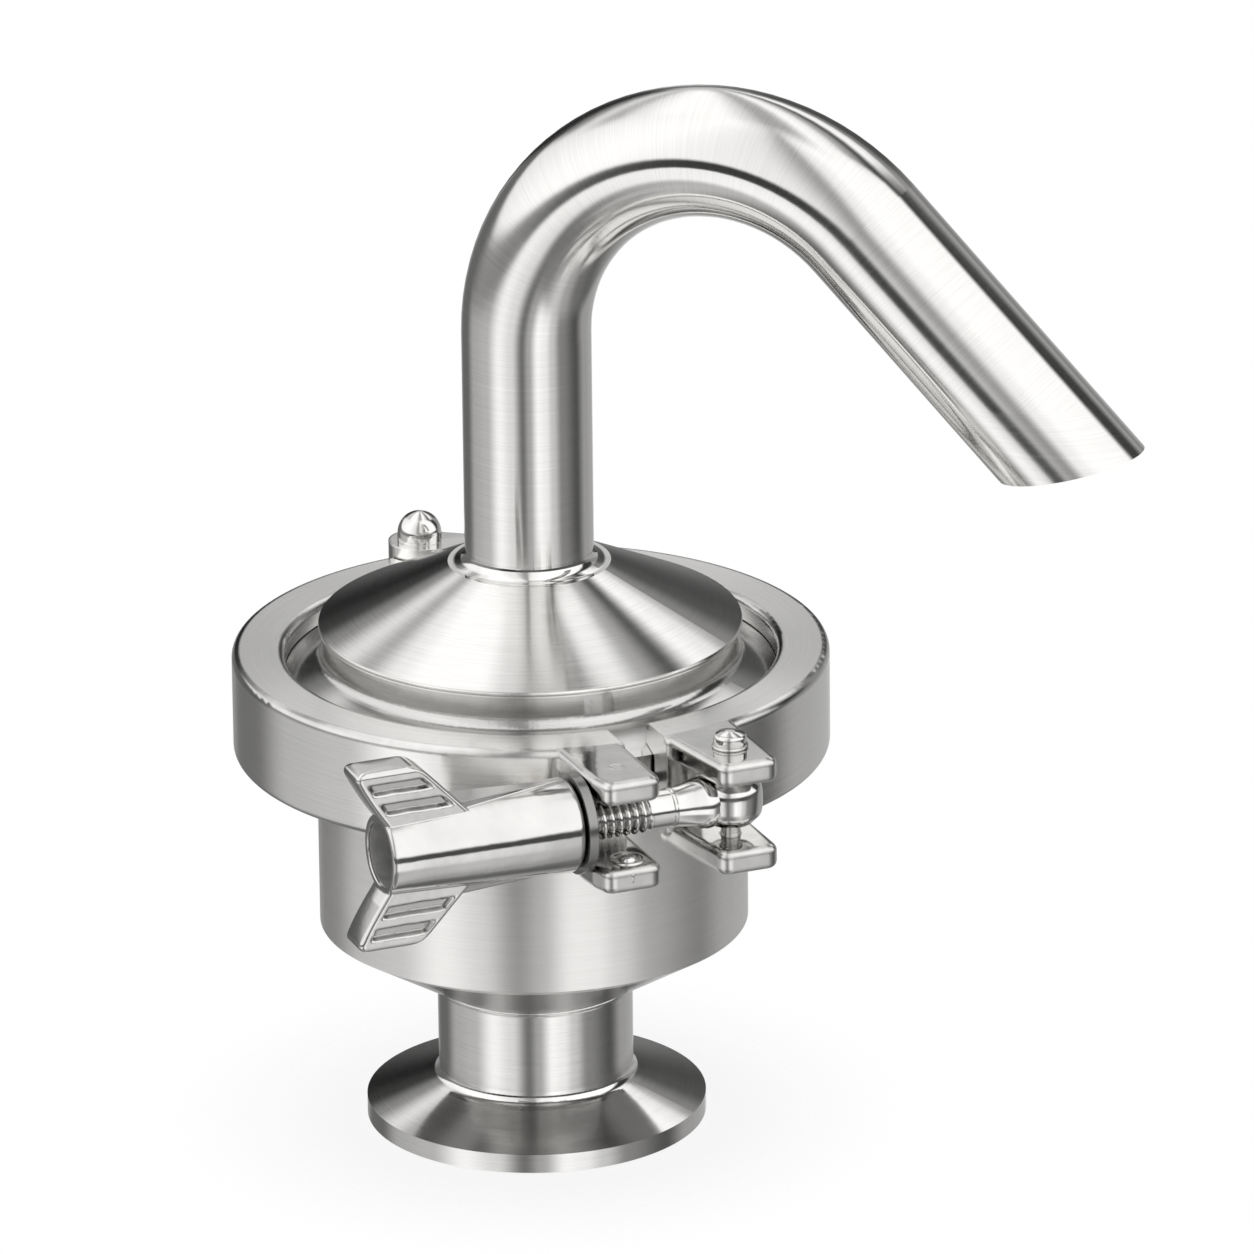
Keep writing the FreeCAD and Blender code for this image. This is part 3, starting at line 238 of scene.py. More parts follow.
def tent_light(graph, direction):
    """The tent's level in a direction, over BRIGHTEST."""
    elevation = height_angle(graph, direction)
    azimuth = heading(graph, direction)
    to_camera = tuple(part * math.cos(ELEVATION) for part in FORWARDS[:2]) + (math.sin(ELEVATION),)
    slope = graph.vector_math("NORMALIZE", graph.vector_math("ADD", direction, to_camera))
    tilt = height_angle(graph, slope)
    # The dark horizon lies higher behind the valve
    behind = graph.smooth(graph.math("ABSOLUTE", azimuth), 105, 155, 0, -14)
    raised = graph.math("ADD", elevation, behind)
    rows = graph.mix(graph.smooth(elevation, *DOWN_TO_LOW), levels(graph, azimuth, DOWN_ROW),
                     levels(graph, azimuth, LOW_ROW))
    rows = graph.mix(graph.smooth(raised, *LOW_TO_HORIZON), rows, levels(graph, azimuth, HORIZON_ROW))
    rows = graph.mix(graph.smooth(raised, *HORIZON_TO_HIGH), rows, levels(graph, azimuth, HIGH_ROW))
    ceiling = graph.math("MULTIPLY", graph.smooth(tilt, *CEILING_IN),
                         graph.smooth(tilt, *CEILING_OUT, 1, 0))
    return graph.mix(ceiling, rows, levels(graph, heading(graph, slope), CEILING_ROW))


def make_tent():
    bpy.ops.mesh.primitive_uv_sphere_add(segments=64, ring_count=32, radius=TENT_RADIUS)
    tent = bpy.context.object
    tent.name = "light_tent"
    material, graph = new_material("tent_cloth")
    direction = graph.vector_math("NORMALIZE", graph.place())
    light = graph.node("ShaderNodeEmission")
    graph.put(light.inputs["Color"], tent_light(graph, direction))
    light.inputs["Strength"].default_value = BRIGHTEST
    graph.output(light.outputs[0])
    material.cycles.emission_sampling = "NONE"
    tent.data.materials.append(material)
    tent.visible_camera = False
    tent.visible_diffuse = False
    tent.visible_transmission = False
    tent.visible_shadow = False


def make_world():
    world = bpy.data.worlds.new("surroundings")
    world.use_nodes = True
    bpy.context.scene.world = world
    graph = Graph(world.node_tree)
    rays = graph.node("ShaderNodeLightPath")
    seen = graph.math("MAXIMUM", rays.outputs["Is Camera Ray"], rays.outputs["Is Transmission Ray"])
    seen = graph.math("MAXIMUM", seen, rays.outputs["Is Glossy Ray"])
    background = graph.node("ShaderNodeBackground")
    graph.put(background.inputs["Color"], graph.mix(seen, (0.96, 0.96, 0.96, 1), (1, 1, 1, 1)))
    graph.output(background.outputs[0], "World")


# The floor, and how far from the axis it fades out to the camera and in reflections
FLOOR_RADIUS = 0.6
FLOOR_LEVEL = -0.0002
CAMERA_FADE = (0.027, 0.06)
GLOSSY_FADE = (0.0246, 0.0253)


def make_floor():
    """A white floor that keeps the soft shadow and fades out into the white surroundings."""
    bpy.ops.mesh.primitive_circle_add(vertices=96, radius=FLOOR_RADIUS, fill_type="NGON",
                                      location=(0, 0, FLOOR_LEVEL))
    floor = bpy.context.object
    floor.name = "floor"
    material, graph = new_material("floor_white")
    place = graph.place()
    rays = graph.node("ShaderNodeLightPath")
    far = graph.vector_math("LENGTH", place)
    paper = graph.noise(place, 60)
    tint = graph.ramp(paper, (0.3, (0.95, 0.95, 0.95)), (0.7, (0.97, 0.97, 0.97)))
    diffuse = graph.node("ShaderNodeBsdfDiffuse")
    graph.put(diffuse.inputs["Color"], tint)
    white = graph.node("ShaderNodeEmission")
    lit = graph.mix_shaders(0.8, diffuse.outputs[0], white.outputs[0])
    clear = graph.node("ShaderNodeBsdfTransparent")
    glossy_fade = graph.math("MULTIPLY", rays.outputs["Is Glossy Ray"], graph.smooth(far, *GLOSSY_FADE))
    fade = graph.math("MAXIMUM", graph.smooth(far, *CAMERA_FADE), glossy_fade)
    graph.output(graph.mix_shaders(fade, lit, clear.outputs[0]))
    floor.data.materials.append(material)


# Metals
STEEL = (0.76, 0.752, 0.738)
STEEL_DARK = (0.5, 0.495, 0.485)


def shade(colour, factor):
    return tuple(min(1, part * factor) for part in colour)


def metal(graph, colour, roughness, normal, tangent=None, anisotropy=0.0):
    """A metal shader; a tangent runs along the brush lines, and its highlight lies across them."""
    shader = graph.node("ShaderNodeBsdfPrincipled")
    shader.inputs["Metallic"].default_value = 1
    shader.inputs["Anisotropic"].default_value = anisotropy
    shader.inputs["Anisotropic Rotation"].default_value = 0.25
    graph.put(shader.inputs["Base Color"], colour)
    graph.put(shader.inputs["Roughness"], roughness)
    graph.put(shader.inputs["Normal"], normal)
    if tangent is not None:
        graph.put(shader.inputs["Tangent"], tangent)
    return shader.outputs[0]


def bump(graph, height, strength, distance, edge=0.0):
    """A bumped normal; edge is the radius to which sharp edges are seen to be rounded."""
    made = graph.node("ShaderNodeBump")
    made.inputs["Strength"].default_value = strength
    made.inputs["Distance"].default_value = distance
    graph.put(made.inputs["Height"], height)
    if edge:
        bevel = graph.node("ShaderNodeBevel", samples=4)
        bevel.inputs["Radius"].default_value = edge
        graph.put(made.inputs["Normal"], bevel.outputs[0])
    return made.outputs[0]


def to_world(graph, vector):
    """A vector given in the object's own axes, turned into the world's."""
    made = graph.node("ShaderNodeVectorTransform", vector_type="VECTOR", convert_from="OBJECT",
                      convert_to="WORLD")
    graph.put(made.inputs[0], vector)
    return made.outputs[0]


def hairlines(graph, across, along):
    """Fine and broad brush lines: both fine across the brushing and long along it."""
    fine = graph.join(graph.math("MULTIPLY", across, 6500), graph.math("MULTIPLY", along, 60), 0.0)
    broad = graph.join(graph.math("MULTIPLY", across, 1300), graph.math("MULTIPLY", along, 35), 4.0)
    return graph.math("MULTIPLY_ADD", graph.noise(fine, 1.0, 3.0, 0.75), 0.8,
                      graph.math("MULTIPLY", graph.noise(broad, 1.0, 2.0, 0.6), 0.2))


def brushed(graph, lines, tangent, roughness, anisotropy=0.93, colour=STEEL, depth=0.05, edge=0.0):
    """Steel with brush lines along a tangent."""
    cloud = graph.noise(graph.place(), 75, 3.0)
    tint = graph.ramp(lines, (0.34, shade(colour, 0.93)), (0.66, shade(colour, 1.05)))
    rough = graph.math("ADD", graph.math("MULTIPLY", cloud, 0.04),
                       graph.math("MULTIPLY_ADD", lines, 0.06, roughness - 0.05))
    return metal(graph, tint, rough, bump(graph, lines, depth, 0.00003, edge), tangent, anisotropy)


def turned_lines(graph):
    """Brush lines round the vertical axis, their tangent, the radius and the height."""
    x, y, z = graph.split(graph.place())
    radius = graph.vector_math("LENGTH", graph.join(x, y, 0.0))
    angle = graph.math("ARCTAN2", y, x)
    lines = hairlines(graph, graph.math("ADD", radius, z), graph.math("MULTIPLY", angle, 0.03))
    round_axis = graph.join(graph.math("MULTIPLY", y, -1.0), x, 0.0)
    return lines, graph.vector_math("NORMALIZE", to_world(graph, round_axis)), radius, z


def turned_steel(name, roughness, colour=STEEL):
    """Steel brushed round a vertical axis, as a lathe or a polishing wheel leaves it."""
    material, graph = new_material(name)
    lines, tangent, _, _ = turned_lines(graph)
    graph.output(brushed(graph, lines, tangent, roughness, colour=colour))
    return material


def body_steel(name):
    """The body: brushed round the axis, with painted light on its wall, whose steel is made lighter, and
    painted shade on the cone under it, whose steel is made darker.
    """
    material, graph = new_material(name)
    lines, tangent, _, z = turned_lines(graph)
    # Painted light and shade: the wall's steel is brightened, the cone's is darkened
    light, dark, wall_foot = shade(STEEL, 1.24), shade(STEEL, 0.62), (0.0299, 0.0306)
    sharp = brushed(graph, lines, tangent, 0.18, colour=light)
    soft = brushed(graph, lines, tangent, 0.5, 0.6, light)
    cone = brushed(graph, lines, tangent, 0.13, colour=dark)
    wall = graph.mix_shaders(0.5, sharp, soft)
    graph.output(graph.mix_shaders(graph.smooth(z, *wall_foot), cone, wall))
    return material


def polish(graph):
    """Mirror-polished steel with a faint ripple, for the edges and fillets of brushed pieces."""
    ripple = graph.noise(graph.place(), 300, 2.0)
    tint = graph.ramp(ripple, (0.3, shade(STEEL, 0.95)), (0.7, shade(STEEL, 1.1)))
    rough = graph.math("MULTIPLY_ADD", ripple, 0.04, 0.03)
    return metal(graph, tint, rough, bump(graph, ripple, 0.06, 0.0002))


def ferrule_steel(name):
    """The ferrule and its neck: brushed round the axis, with a polished fillet between them."""
    material, graph = new_material(name)
    lines, tangent, radius, z = turned_lines(graph)
    fillet_foot, fillet_top, fillet_reach = (0.0060, 0.0062), (0.0084, 0.0082), (0.0163, 0.0161)
    fillet = graph.math("MULTIPLY", graph.smooth(z, *fillet_foot), graph.smooth(z, *fillet_top))
    fillet = graph.math("MULTIPLY", fillet, graph.smooth(radius, *fillet_reach))
    graph.output(graph.mix_shaders(fillet, brushed(graph, lines, tangent, 0.13), polish(graph)))
    return material


def cone_steel(name):
    """The cover's cone: brushed in circles, with a mirror-polished collar in the middle."""
    material, graph = new_material(name)
    lines, tangent, radius, _ = turned_lines(graph)
    collar_edge = (0.01195, 0.01225)
    cone = brushed(graph, lines, tangent, 0.15, 0.95, depth=0.04)
    graph.output(graph.mix_shaders(graph.smooth(radius, *collar_edge), polish(graph), cone))
    return material


def clamp_steel(name):
    """Cast clamp halves: a satin ring brushed round its axis, its steel made brighter as painted light,
    and polished lugs and edges.
    """
    material, graph = new_material(name)
    lines, tangent, radius, z = turned_lines(graph)
    outer_edge, inner_edge, face_edge = (0.0426, 0.0430), (0.0376, 0.0372), (0.0065, 0.0069)
    lug_root = (0.0439, 0.0452)
    # Painted light: the ring's satin steel is made brighter
    ring = brushed(graph, lines, tangent, 0.2, 0.9, shade(STEEL, 1.2), edge=0.0003)
    place = graph.place()
    wave = graph.noise(place, 240, 2.0)
    scratch = graph.noise(graph.vector_math("MULTIPLY", place, (3000, 3000, 9000)), 1.0, 3.0, 0.7)
    tint = graph.ramp(wave, (0.35, shade(STEEL, 0.8)), (0.7, shade(STEEL, 0.92)))
    rough = graph.math("ADD", graph.math("MULTIPLY", wave, 0.05),
                       graph.math("MULTIPLY_ADD", scratch, 0.04, 0.03))
    height = graph.math("ADD", wave, graph.math("MULTIPLY", scratch, 0.04))
    lug = metal(graph, tint, rough, bump(graph, height, 0.06, 0.0004, 0.0006))
    off_plane = graph.math("ABSOLUTE", graph.math("SUBTRACT", z, JOINT_PLANE * MM))
    rim = graph.math("MAXIMUM", graph.smooth(radius, *outer_edge), graph.smooth(radius, *inner_edge))
    rim = graph.math("MULTIPLY", rim, graph.smooth(off_plane, *face_edge))
    polished = graph.math("MAXIMUM", rim, graph.smooth(radius, *lug_root))
    graph.output(graph.mix_shaders(polished, ring, lug))
    return material


def polished_steel(name, roughness, colour=STEEL, waviness=0.1, hollows=None):
    """Cast steel polished by hand: faint waves, fine scratches and, from a mask, duller and darker
    hollows; in the wings' grip grooves the darker colour is painted shade.
    """
    material, graph = new_material(name)
    place = graph.place()
    wave = graph.noise(place, 260, 2.0)
    scratch = graph.noise(graph.vector_math("MULTIPLY", place, (2600, 9000, 4200)), 1.0, 3.0, 0.7)
    cloud = graph.noise(place, 120, 3.0)
    tint = graph.ramp(cloud, (0.35, shade(colour, 0.93)), (0.7, shade(colour, 1.05)))
    rough = graph.math("ADD", graph.math("MULTIPLY", cloud, 0.08),
                       graph.math("MULTIPLY_ADD", scratch, 0.05, roughness - 0.065))
    if hollows:
        hollow = hollows(graph, place)
        # The mask makes the steel duller and darker; in the wings' grip grooves the darkening is painted
        # shade
        tint = graph.mix(hollow, tint, (*shade(colour, 0.6), 1))
        rough = graph.math("MULTIPLY_ADD", hollow, 0.1, rough)
    height = graph.math("ADD", wave, graph.math("MULTIPLY", scratch, 0.03))
    graph.output(metal(graph, tint, rough, bump(graph, height, waviness, 0.0004, 0.0002)))
    return material


def from_bolt(graph, place):
    """How far a place is along the bolt, across it in the level plane, and above it."""
    slant = math.sqrt(0.5)
    along = graph.vector_math("DOT_PRODUCT", place, (slant, slant, 0))
    across = graph.vector_math("DOT_PRODUCT", place, (-slant, slant, 0))
    across = graph.math("ADD", across, -BOLT_PLACE[1] * MM)
    above = graph.math("ADD", graph.split(place)[2], -JOINT_PLANE * MM)
    return along, across, above


def thread_roots(graph, place):
    """A mask of the thread's dark roots."""
    depth, thread_start = (0.0029, 0.0023), (-0.0018, -0.0024)
    along, across, above = from_bolt(graph, place)
    reach = graph.vector_math("LENGTH", graph.join(across, above, 0.0))
    return graph.math("MULTIPLY", graph.smooth(reach, *depth), graph.smooth(along, *thread_start))


def dull_shaded_grip_grooves(graph, place):
    """A mask of the grip grooves in the wings' two faces, made duller and painted darker as painted shade.
    """
    depth, foot, top, strength = (0.00285, 0.0023), (0.0067, 0.0071), (0.0124, 0.0120), 0.75
    _, across, above = from_bolt(graph, place)
    deep = graph.smooth(graph.math("ABSOLUTE", across), *depth)
    off_axis = graph.math("ABSOLUTE", above)
    span = graph.math("MULTIPLY", graph.smooth(off_axis, *foot), graph.smooth(off_axis, *top))
    return graph.math("MULTIPLY", graph.math("MULTIPLY", deep, span), strength)


def bore_steel(name):
    """Dull drilled steel with fine turning marks."""
    material, graph = new_material(name)
    place = graph.place()
    away = graph.vector_math("DOT_PRODUCT", place, (1, 1, 0))
    marks = graph.noise(graph.join(graph.math("MULTIPLY", away, 5000), 0.0, 0.0), 1.0, 2.0)
    cloud = graph.noise(place, 500, 3.0)
    rough = metal(graph, graph.ramp(marks, (0.3, (0.5, 0.5, 0.49)), (0.7, (0.66, 0.655, 0.645))),
                  graph.math("MULTIPLY_ADD", cloud, 0.2, 0.3), bump(graph, marks, 0.3, 0.00005))
    dust = graph.ramp(cloud, (0.3, (0.22, 0.22, 0.215)), (0.7, (0.34, 0.335, 0.33)))
    grey = graph.node("ShaderNodeBsdfDiffuse")
    graph.put(grey.inputs["Color"], dust)
    graph.output(graph.mix_shaders(0.55, rough, grey.outputs[0]))
    return material


def tube_steel(name):
    """Steel of the bent tube, brushed round the tube's own line."""
    material, graph = new_material(name)
    place = graph.place()
    x, y, z = graph.split(place)
    bend_radius, bend_start, tail_angle, tube_foot = 0.031, 0.1225, math.radians(135), 0.08895
    across = graph.math("SUBTRACT", bend_radius, x)
    above = graph.math("SUBTRACT", z, bend_start)
    turned = graph.math("ARCTAN2", above, across)
    turned = graph.math("MINIMUM", graph.math("MAXIMUM", turned, 0.0), tail_angle)
    along = graph.join(graph.math("SINE", turned), 0.0, graph.math("COSINE", turned))
    normal = graph.node("ShaderNodeNewGeometry").outputs["Normal"]
    round_tube = graph.vector_math("CROSS_PRODUCT", to_world(graph, along), normal)
    tangent = graph.vector_math("NORMALIZE", round_tube)
    # How far a place is along the tube's line: up the riser, round the bend, down the tail
    run = graph.math("ADD", graph.math("MULTIPLY", turned, bend_radius), graph.math("MINIMUM", above, 0.0))
    tail_run = graph.vector_math("DOT_PRODUCT", place, (math.sin(tail_angle), 0, math.cos(tail_angle)))
    in_tail = graph.math("GREATER_THAN", turned, tail_angle - 0.001)
    run = graph.math("ADD", run, graph.math("MULTIPLY", in_tail, tail_run))
    lines = hairlines(graph, run, y)
    # A fine darker line marks the seam where the tube leaves the collar
    from_seam = graph.math("ABSOLUTE", graph.math("SUBTRACT", z, tube_foot))
    plain = graph.smooth(from_seam, 0.0001, 0.0003)
    lines = graph.math("MULTIPLY", lines, graph.math("MULTIPLY_ADD", plain, 0.8, 0.2))
    graph.output(brushed(graph, lines, tangent, 0.11, 0.9, depth=0.04))
    return material


def soft_material(name, colour, roughness, grain):
    """Rubber or plastic with a fine grain."""
    material, graph = new_material(name)
    place = graph.place()
    speck = graph.noise(place, grain, 4.0)
    shader = graph.node("ShaderNodeBsdfPrincipled")
    tint = graph.ramp(speck, (0.3, shade(colour, 0.85)), (0.7, shade(colour, 1.15)))
    graph.put(shader.inputs["Base Color"], tint)
    graph.put(shader.inputs["Roughness"], graph.math("MULTIPLY_ADD", speck, 0.2, roughness - 0.1))
    graph.put(shader.inputs["Normal"], bump(graph, speck, 0.2, 0.0001))
    graph.output(shader.outputs[0])
    return material


def dress(material, *items):
    """Give CAD nodes, by name, or pieces one material."""
    for item in items:
        if isinstance(item, str):
            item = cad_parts[item]
        item.data.materials.clear()
        item.data.materials.append(material)


# Detailed pieces, modelled in millimetres
def on_clamp(x, y, z):
    """A place in the clamp's frame."""
    return CLAMP @ Matrix.Translation((x, y, z))


def finished_mesh(name, mesh, place, body):
    """An object of a bmesh in millimetres, set in place and riding on a body."""
    bmesh.ops.remove_doubles(mesh, verts=mesh.verts, dist=1e-5)
    bmesh.ops.recalc_face_normals(mesh, faces=mesh.faces)
    data = bpy.data.meshes.new(name)
    mesh.transform(Matrix.Scale(MM, 4) @ place)
    mesh.to_mesh(data)
    mesh.free()
    data.polygons.foreach_set("use_smooth", [True] * len(data.polygons))
    data.set_sharp_from_angle(angle=math.radians(32))
    item = bpy.data.objects.new(name, data)
    bpy.context.collection.objects.link(item)
    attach(item, body)
    return item


def add_rings(mesh, rings, closed=False):
    """Skin a list of rings of points with faces; a ring of one point closes an end."""
    made = [[mesh.verts.new(point) for point in points] for points in rings]
    pairs = list(zip(made, made[1:] + ([made[0]] if closed else [])))
    if not closed:
        pairs = pairs[:len(made) - 1]
    for lower, upper in pairs:
        count = max(len(lower), len(upper))
        for index in range(count):
            following = (index + 1) % count
            corners = [lower[index % len(lower)], lower[following % len(lower)],
                       upper[following % len(upper)], upper[index % len(upper)]]
            unique = list(dict.fromkeys(corners))
            if len(unique) > 2:
                mesh.faces.new(unique)


def ring(radius, height, count):
    """A level ring of points, or a single point where the radius is 0."""
    if radius == 0:
        return [Vector((0, 0, height))]
    turns = [2 * math.pi * step / count for step in range(count)]
    return [Vector((radius * math.cos(turn), radius * math.sin(turn), height)) for turn in turns]


def along_bolt(radius, run, count):
    """A ring round the bolt's axis, at a run away from the start."""
    return [Vector((-run, y, z)) for y, z, _ in ring(radius, 0, count)]


def turned_mesh(profile, count, closed=False):
    """A bmesh turned round the vertical axis from points (radius, height)."""
    mesh = bmesh.new()
    add_rings(mesh, [ring(radius, height, count) for radius, height in profile], closed)
    return mesh


def arc(centre, radius, start, end, steps=8):
    """Profile points (radius, height) along an arc, with its angles in degrees."""
    points = []
    for step in range(steps + 1):
        angle = math.radians(start + (end - start) * step / steps)
        points.append((centre[0] + radius * math.cos(angle), centre[1] + radius * math.sin(angle)))
    return points


def threaded_rings(count, shank, end):
    """Rings of a right-handed cut thread along the bolt, from the plain shank to its end."""
    pitch, crest, depth, start = 1.25, 2.99, 0.8, 13.0
    step = pitch / 12
    rings = []
    for index in range(round((end - start) / step) + 1):
        run = start + index * step
        fade = min(1, (run - start) / pitch, (end - run) / (0.5 * pitch))
        points = []
        for side in range(count):
            angle = 2 * math.pi * side / count
            phase = (run / pitch + side / count) % 1
            # A flat crest, steep flanks and a narrow root
            groove = min(1, max(0, 1.7 * (1 - abs(2 * phase - 1)) - 0.5))
            radius = shank + fade * (crest - shank) - fade * depth * groove
            points.append(Vector((-run, radius * math.cos(angle), radius * math.sin(angle))))
        rings.append(points)
    return rings


def make_eye_bolt():
    """The bolt with its ball-shaped eye, flared neck, smooth shank and cut thread."""
    upper = [(1.56, 3.4), (1.76, 3.6), (2.9, 3.6), (3.1, 3.55), (3.3, 3.42), (4.25, 2.42), (4.4, 2.2)]
    upper += [(4.52, 1.9), (4.61, 1.5), (4.66, 1.0), (4.69, 0.4)]
    profile = upper + [(radius, -height) for radius, height in reversed(upper)]
    mesh = turned_mesh(profile, 64, closed=True)
    count, shank, start, end = 48, 2.84, 2.5, 43.7
    neck = [(start, 3.2), (3.6, 3.86), (4.3, 3.88), (5.2, 3.72), (6.4, 3.4), (7.6, 3.1), (8.6, 2.93),
            (9.2, 2.86), (9.3, 2.96), (9.7, 2.96), (9.8, shank), (12.9, shank)]
    rings = [[Vector((-start, 0, 0))]]
    rings += [along_bolt(radius, run, count) for run, radius in neck]
    rings += threaded_rings(count, shank, end)
    rings += [along_bolt(2.2, end, count), [Vector((-end, 0, 0))]]
    add_rings(mesh, rings)
    bolt = finished_mesh("threaded_eye_bolt", mesh, on_clamp(*BOLT_PLACE), "swing_bolt")
    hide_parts("eye_bolt")
    return bolt


def make_eye_pin():
    """The eye's pin: a domed head on a thin flange, and a notched shank below the eye."""
    shank, notch, lowest_notch, pitch = 1.46, 1.22, 60.35, 0.45
    profile = [(0, 56.25), (1.0, 56.25), (shank, 56.7), (shank, 60.3)]
    for turn in range(4):
        low = lowest_notch + pitch * turn
        profile += [(shank, low), (notch, low + 0.2), (shank, low + 0.4)]
    profile += [(shank, 73.7), (2.5, 73.71)]
    profile += arc((2.45, 73.93), 0.2, -60, 90, 6)
    profile += [(2.32, 74.13), (2.3, 74.2), (2.4, 74.3), (2.42, 75.2)]
    profile += arc((1.77, 75.2), 0.65, 0, 70, 6)
    profile += [(1.5, 75.93), (0.8, 76.05), (0.74, 76.15), (0.4, 76.19), (0, 76.2)]
    place = on_clamp(BOLT_PLACE[0], BOLT_PLACE[1], 0)
    pin = finished_mesh("headed_eye_pin", turned_mesh(profile, 48), place, "clamp_right")
    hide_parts("eye_pin")
    return pin


def make_rivet():
    """The small dished rivet in the left half's lower lug."""
    dish = [(2.6, -0.3), (2.6, 0.0)]
    dish += arc((2.38, 0.05), 0.2, 0, 150, 6)
    dish += [(1.9, 0.01), (1.45, -0.05), (1.34, -0.02)]
    dish += [(1.3, 0.14), (1.18, 0.38), (0.9, 0.58), (0.5, 0.69), (0, 0.72)]
    return finished_mesh("lug_rivet", turned_mesh(dish, 48), on_clamp(-7.2, -53.8, 60.3), "clamp_left")


def make_lug_mark():
    """The faint round punch mark on the left half's upper lug."""
    mark = [(1.25, -0.05), (1.2, 0.03), (1.05, 0.05), (0.95, 0.01), (0.5, 0.03), (0, 0.04)]
    return finished_mesh("lug_mark", turned_mesh(mark, 40), on_clamp(-7.7, -51.2, 73.7), "clamp_left")


def make_gate_mark():
    """The nick that the casting's gate left on the left half's lower lug."""
    mesh = bmesh.new()
    bmesh.ops.create_icosphere(mesh, subdivisions=3, radius=1)
    shape = Matrix.Diagonal((0.16, 0.2, 0.75, 1))
    place = on_clamp(-8.0, -57.75, 58.9) @ shape
    return finished_mesh("gate_mark", mesh, place, "clamp_left")


def make_weld():
    """The ground weld bead between the neck and the body, with its faint scales."""
    radius, height, half_height, bulge, wobble = 14.45, 20.7, 0.5, 0.8, 0.03
    count, steps = 180, 12
    rings = []
    for step in range(steps + 1):
        angle = math.pi * (step / steps - 0.5)
        points = []
        for side in range(count):
            turn = 2 * math.pi * side / count
            scale = 1 + wobble * math.sin(side * 2.1) + wobble * math.sin(side * 0.37)
            reach = radius + half_height * bulge * scale * math.cos(angle)
            level = height + half_height * math.sin(angle)
            points.append(Vector((reach * math.cos(turn), reach * math.sin(turn), level)))
        rings.append(points)
    mesh = bmesh.new()
    add_rings(mesh, rings, closed=True)
    return finished_mesh("neck_weld", mesh, Matrix.Identity(4), "valve_body")


def nut_barrel():
    """Profile points (run, radius) of the nut's barrel, with its rounded ends and the running bore."""
    bore, hole, hole_floor = 3.05, 4.7, 14.4
    profile = [(0, bore), (0, 5.7)]
    profile += [(run, radius) for radius, run in arc((5.75, 1.2), 1.2, -90, -3)]
    profile += [(8, 6.66), (16, 6.38), (24, 6.09), (28.7, 5.93), (29.1, 5.87), (29.33, 5.7), (29.4, 5.5)]
    profile += [(29.4, 4.9), (29.3, 4.74), (29.1, hole), (hole_floor, hole), (hole_floor, bore)]
    return profile


# Height of a wing's tip above the bolt's axis
WING_TIP = 13.6


def groove_depth(level, run, near, far, wave):
    """How deep the wing's two grip grooves are at a place on its face."""
    deepest, slope, near_frame, far_frame = 0.85, 0.7, 1.1, 1.25
    depth = 0.0
    for low, high in ((6.75, 8.95), (9.9, 12.1)):
        across = min(level - low - wave, high + 0.4 * wave - level)
        ends = min(run - near - near_frame, far - far_frame - run)
        depth = max(depth, deepest * smooth_step(across / slope) * smooth_step(ends / slope))
    return depth


def wing_section(level, side):
    """The wing's outline at a level above the bolt's axis, with its framed grip grooves."""
    root, half, corner, edge = 4.9, 3.0, 1.5, 0.75
    near_root, near_lean, far_root, far_lean = 15.8, 8.3, 29.2, 4.9
    part = (level - root) / (WING_TIP - root)
    near = near_root + near_lean * part
    far = far_root + far_lean * (1 - max(0.0, 1 - part) ** 1.25)
    inset = corner - math.sqrt(max(0.0, corner ** 2 - max(0.0, level - WING_TIP + corner) ** 2))
    thin = edge - math.sqrt(max(0.0, edge ** 2 - max(0.0, level - WING_TIP + edge) ** 2))
    near, far, half = near + inset, far - inset, half - thin
    face = []
    steps = 44
    for step in range(steps + 1):
        share = step / steps
        run = near + edge + (far - near - 2 * edge) * share
        wave = 0.035 * math.sin(11 * share + side) + 0.015 * math.sin(23 * share)
        face.append((run, half - groove_depth(level, run, near, far, wave)))
    turns = [math.radians(degrees) for degrees in (18, 36, 54, 72, 90)]
    end = [(far - edge + edge * math.sin(turn), half - edge + edge * math.cos(turn)) for turn in turns]
    start = [(near + edge - edge * math.sin(turn), half - edge + edge * math.cos(turn))
             for turn in reversed(turns)]
    outline = start + face + end
    outline += [(run, -width) for run, width in reversed(outline)]
    return [Vector((-run, width, side * level)) for run, width in outline]


def smooth_step(value):
    value = min(1.0, max(0.0, value))
    return value * value * (3 - 2 * value)


def make_wing_nut():
    """The wing nut: a tapered barrel, two parting ribs and two wings with cast grip grooves."""
    mesh = bmesh.new()
    add_rings(mesh, [along_bolt(radius, run, 96) for run, radius in nut_barrel()], closed=True)
    # Even levels up the wing, and closer ones where its tip rounds off
    wing_levels = [4.6 + 0.09 * step for step in range(89)]
    wing_levels += [12.7, 12.85, 13.0, 13.12, 13.25, 13.36, 13.45, 13.52, 13.57, WING_TIP]
    rib_levels, rib_middle = (4.9, 7.0), 10
    rib_plan = [(0.9, 0.0), (18.8, 2.5), (18.8, -2.5)]
    for side in (1, -1):
        sections = [wing_section(level, side) for level in wing_levels]
        foot, top = ([sum(points, Vector()) / len(points)] for points in (sections[0], sections[-1]))
        add_rings(mesh, [foot] + sections + [top])
        ribs = [[Vector((-run, width, side * level)) for run, width in rib_plan] for level in rib_levels]
        rib_foot, rib_top = ([Vector((-rib_middle, 0, side * level))] for level in rib_levels)
        add_rings(mesh, [rib_foot] + ribs + [rib_top])
    nut = finished_mesh("grooved_wing_nut", mesh, on_clamp(*NUT_PLACE), "turning_nut")
    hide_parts("wing_nut")
    return nut


def make_cover_rim():
    """The polished round edge of the cover, where the cone overhangs the wall."""
    mesh = turned_mesh(arc((30.78, 77.48), 0.43, 0, 345, 23), 192, closed=True)
    return finished_mesh("cover_rim", mesh, Matrix.Identity(4), "outlet")


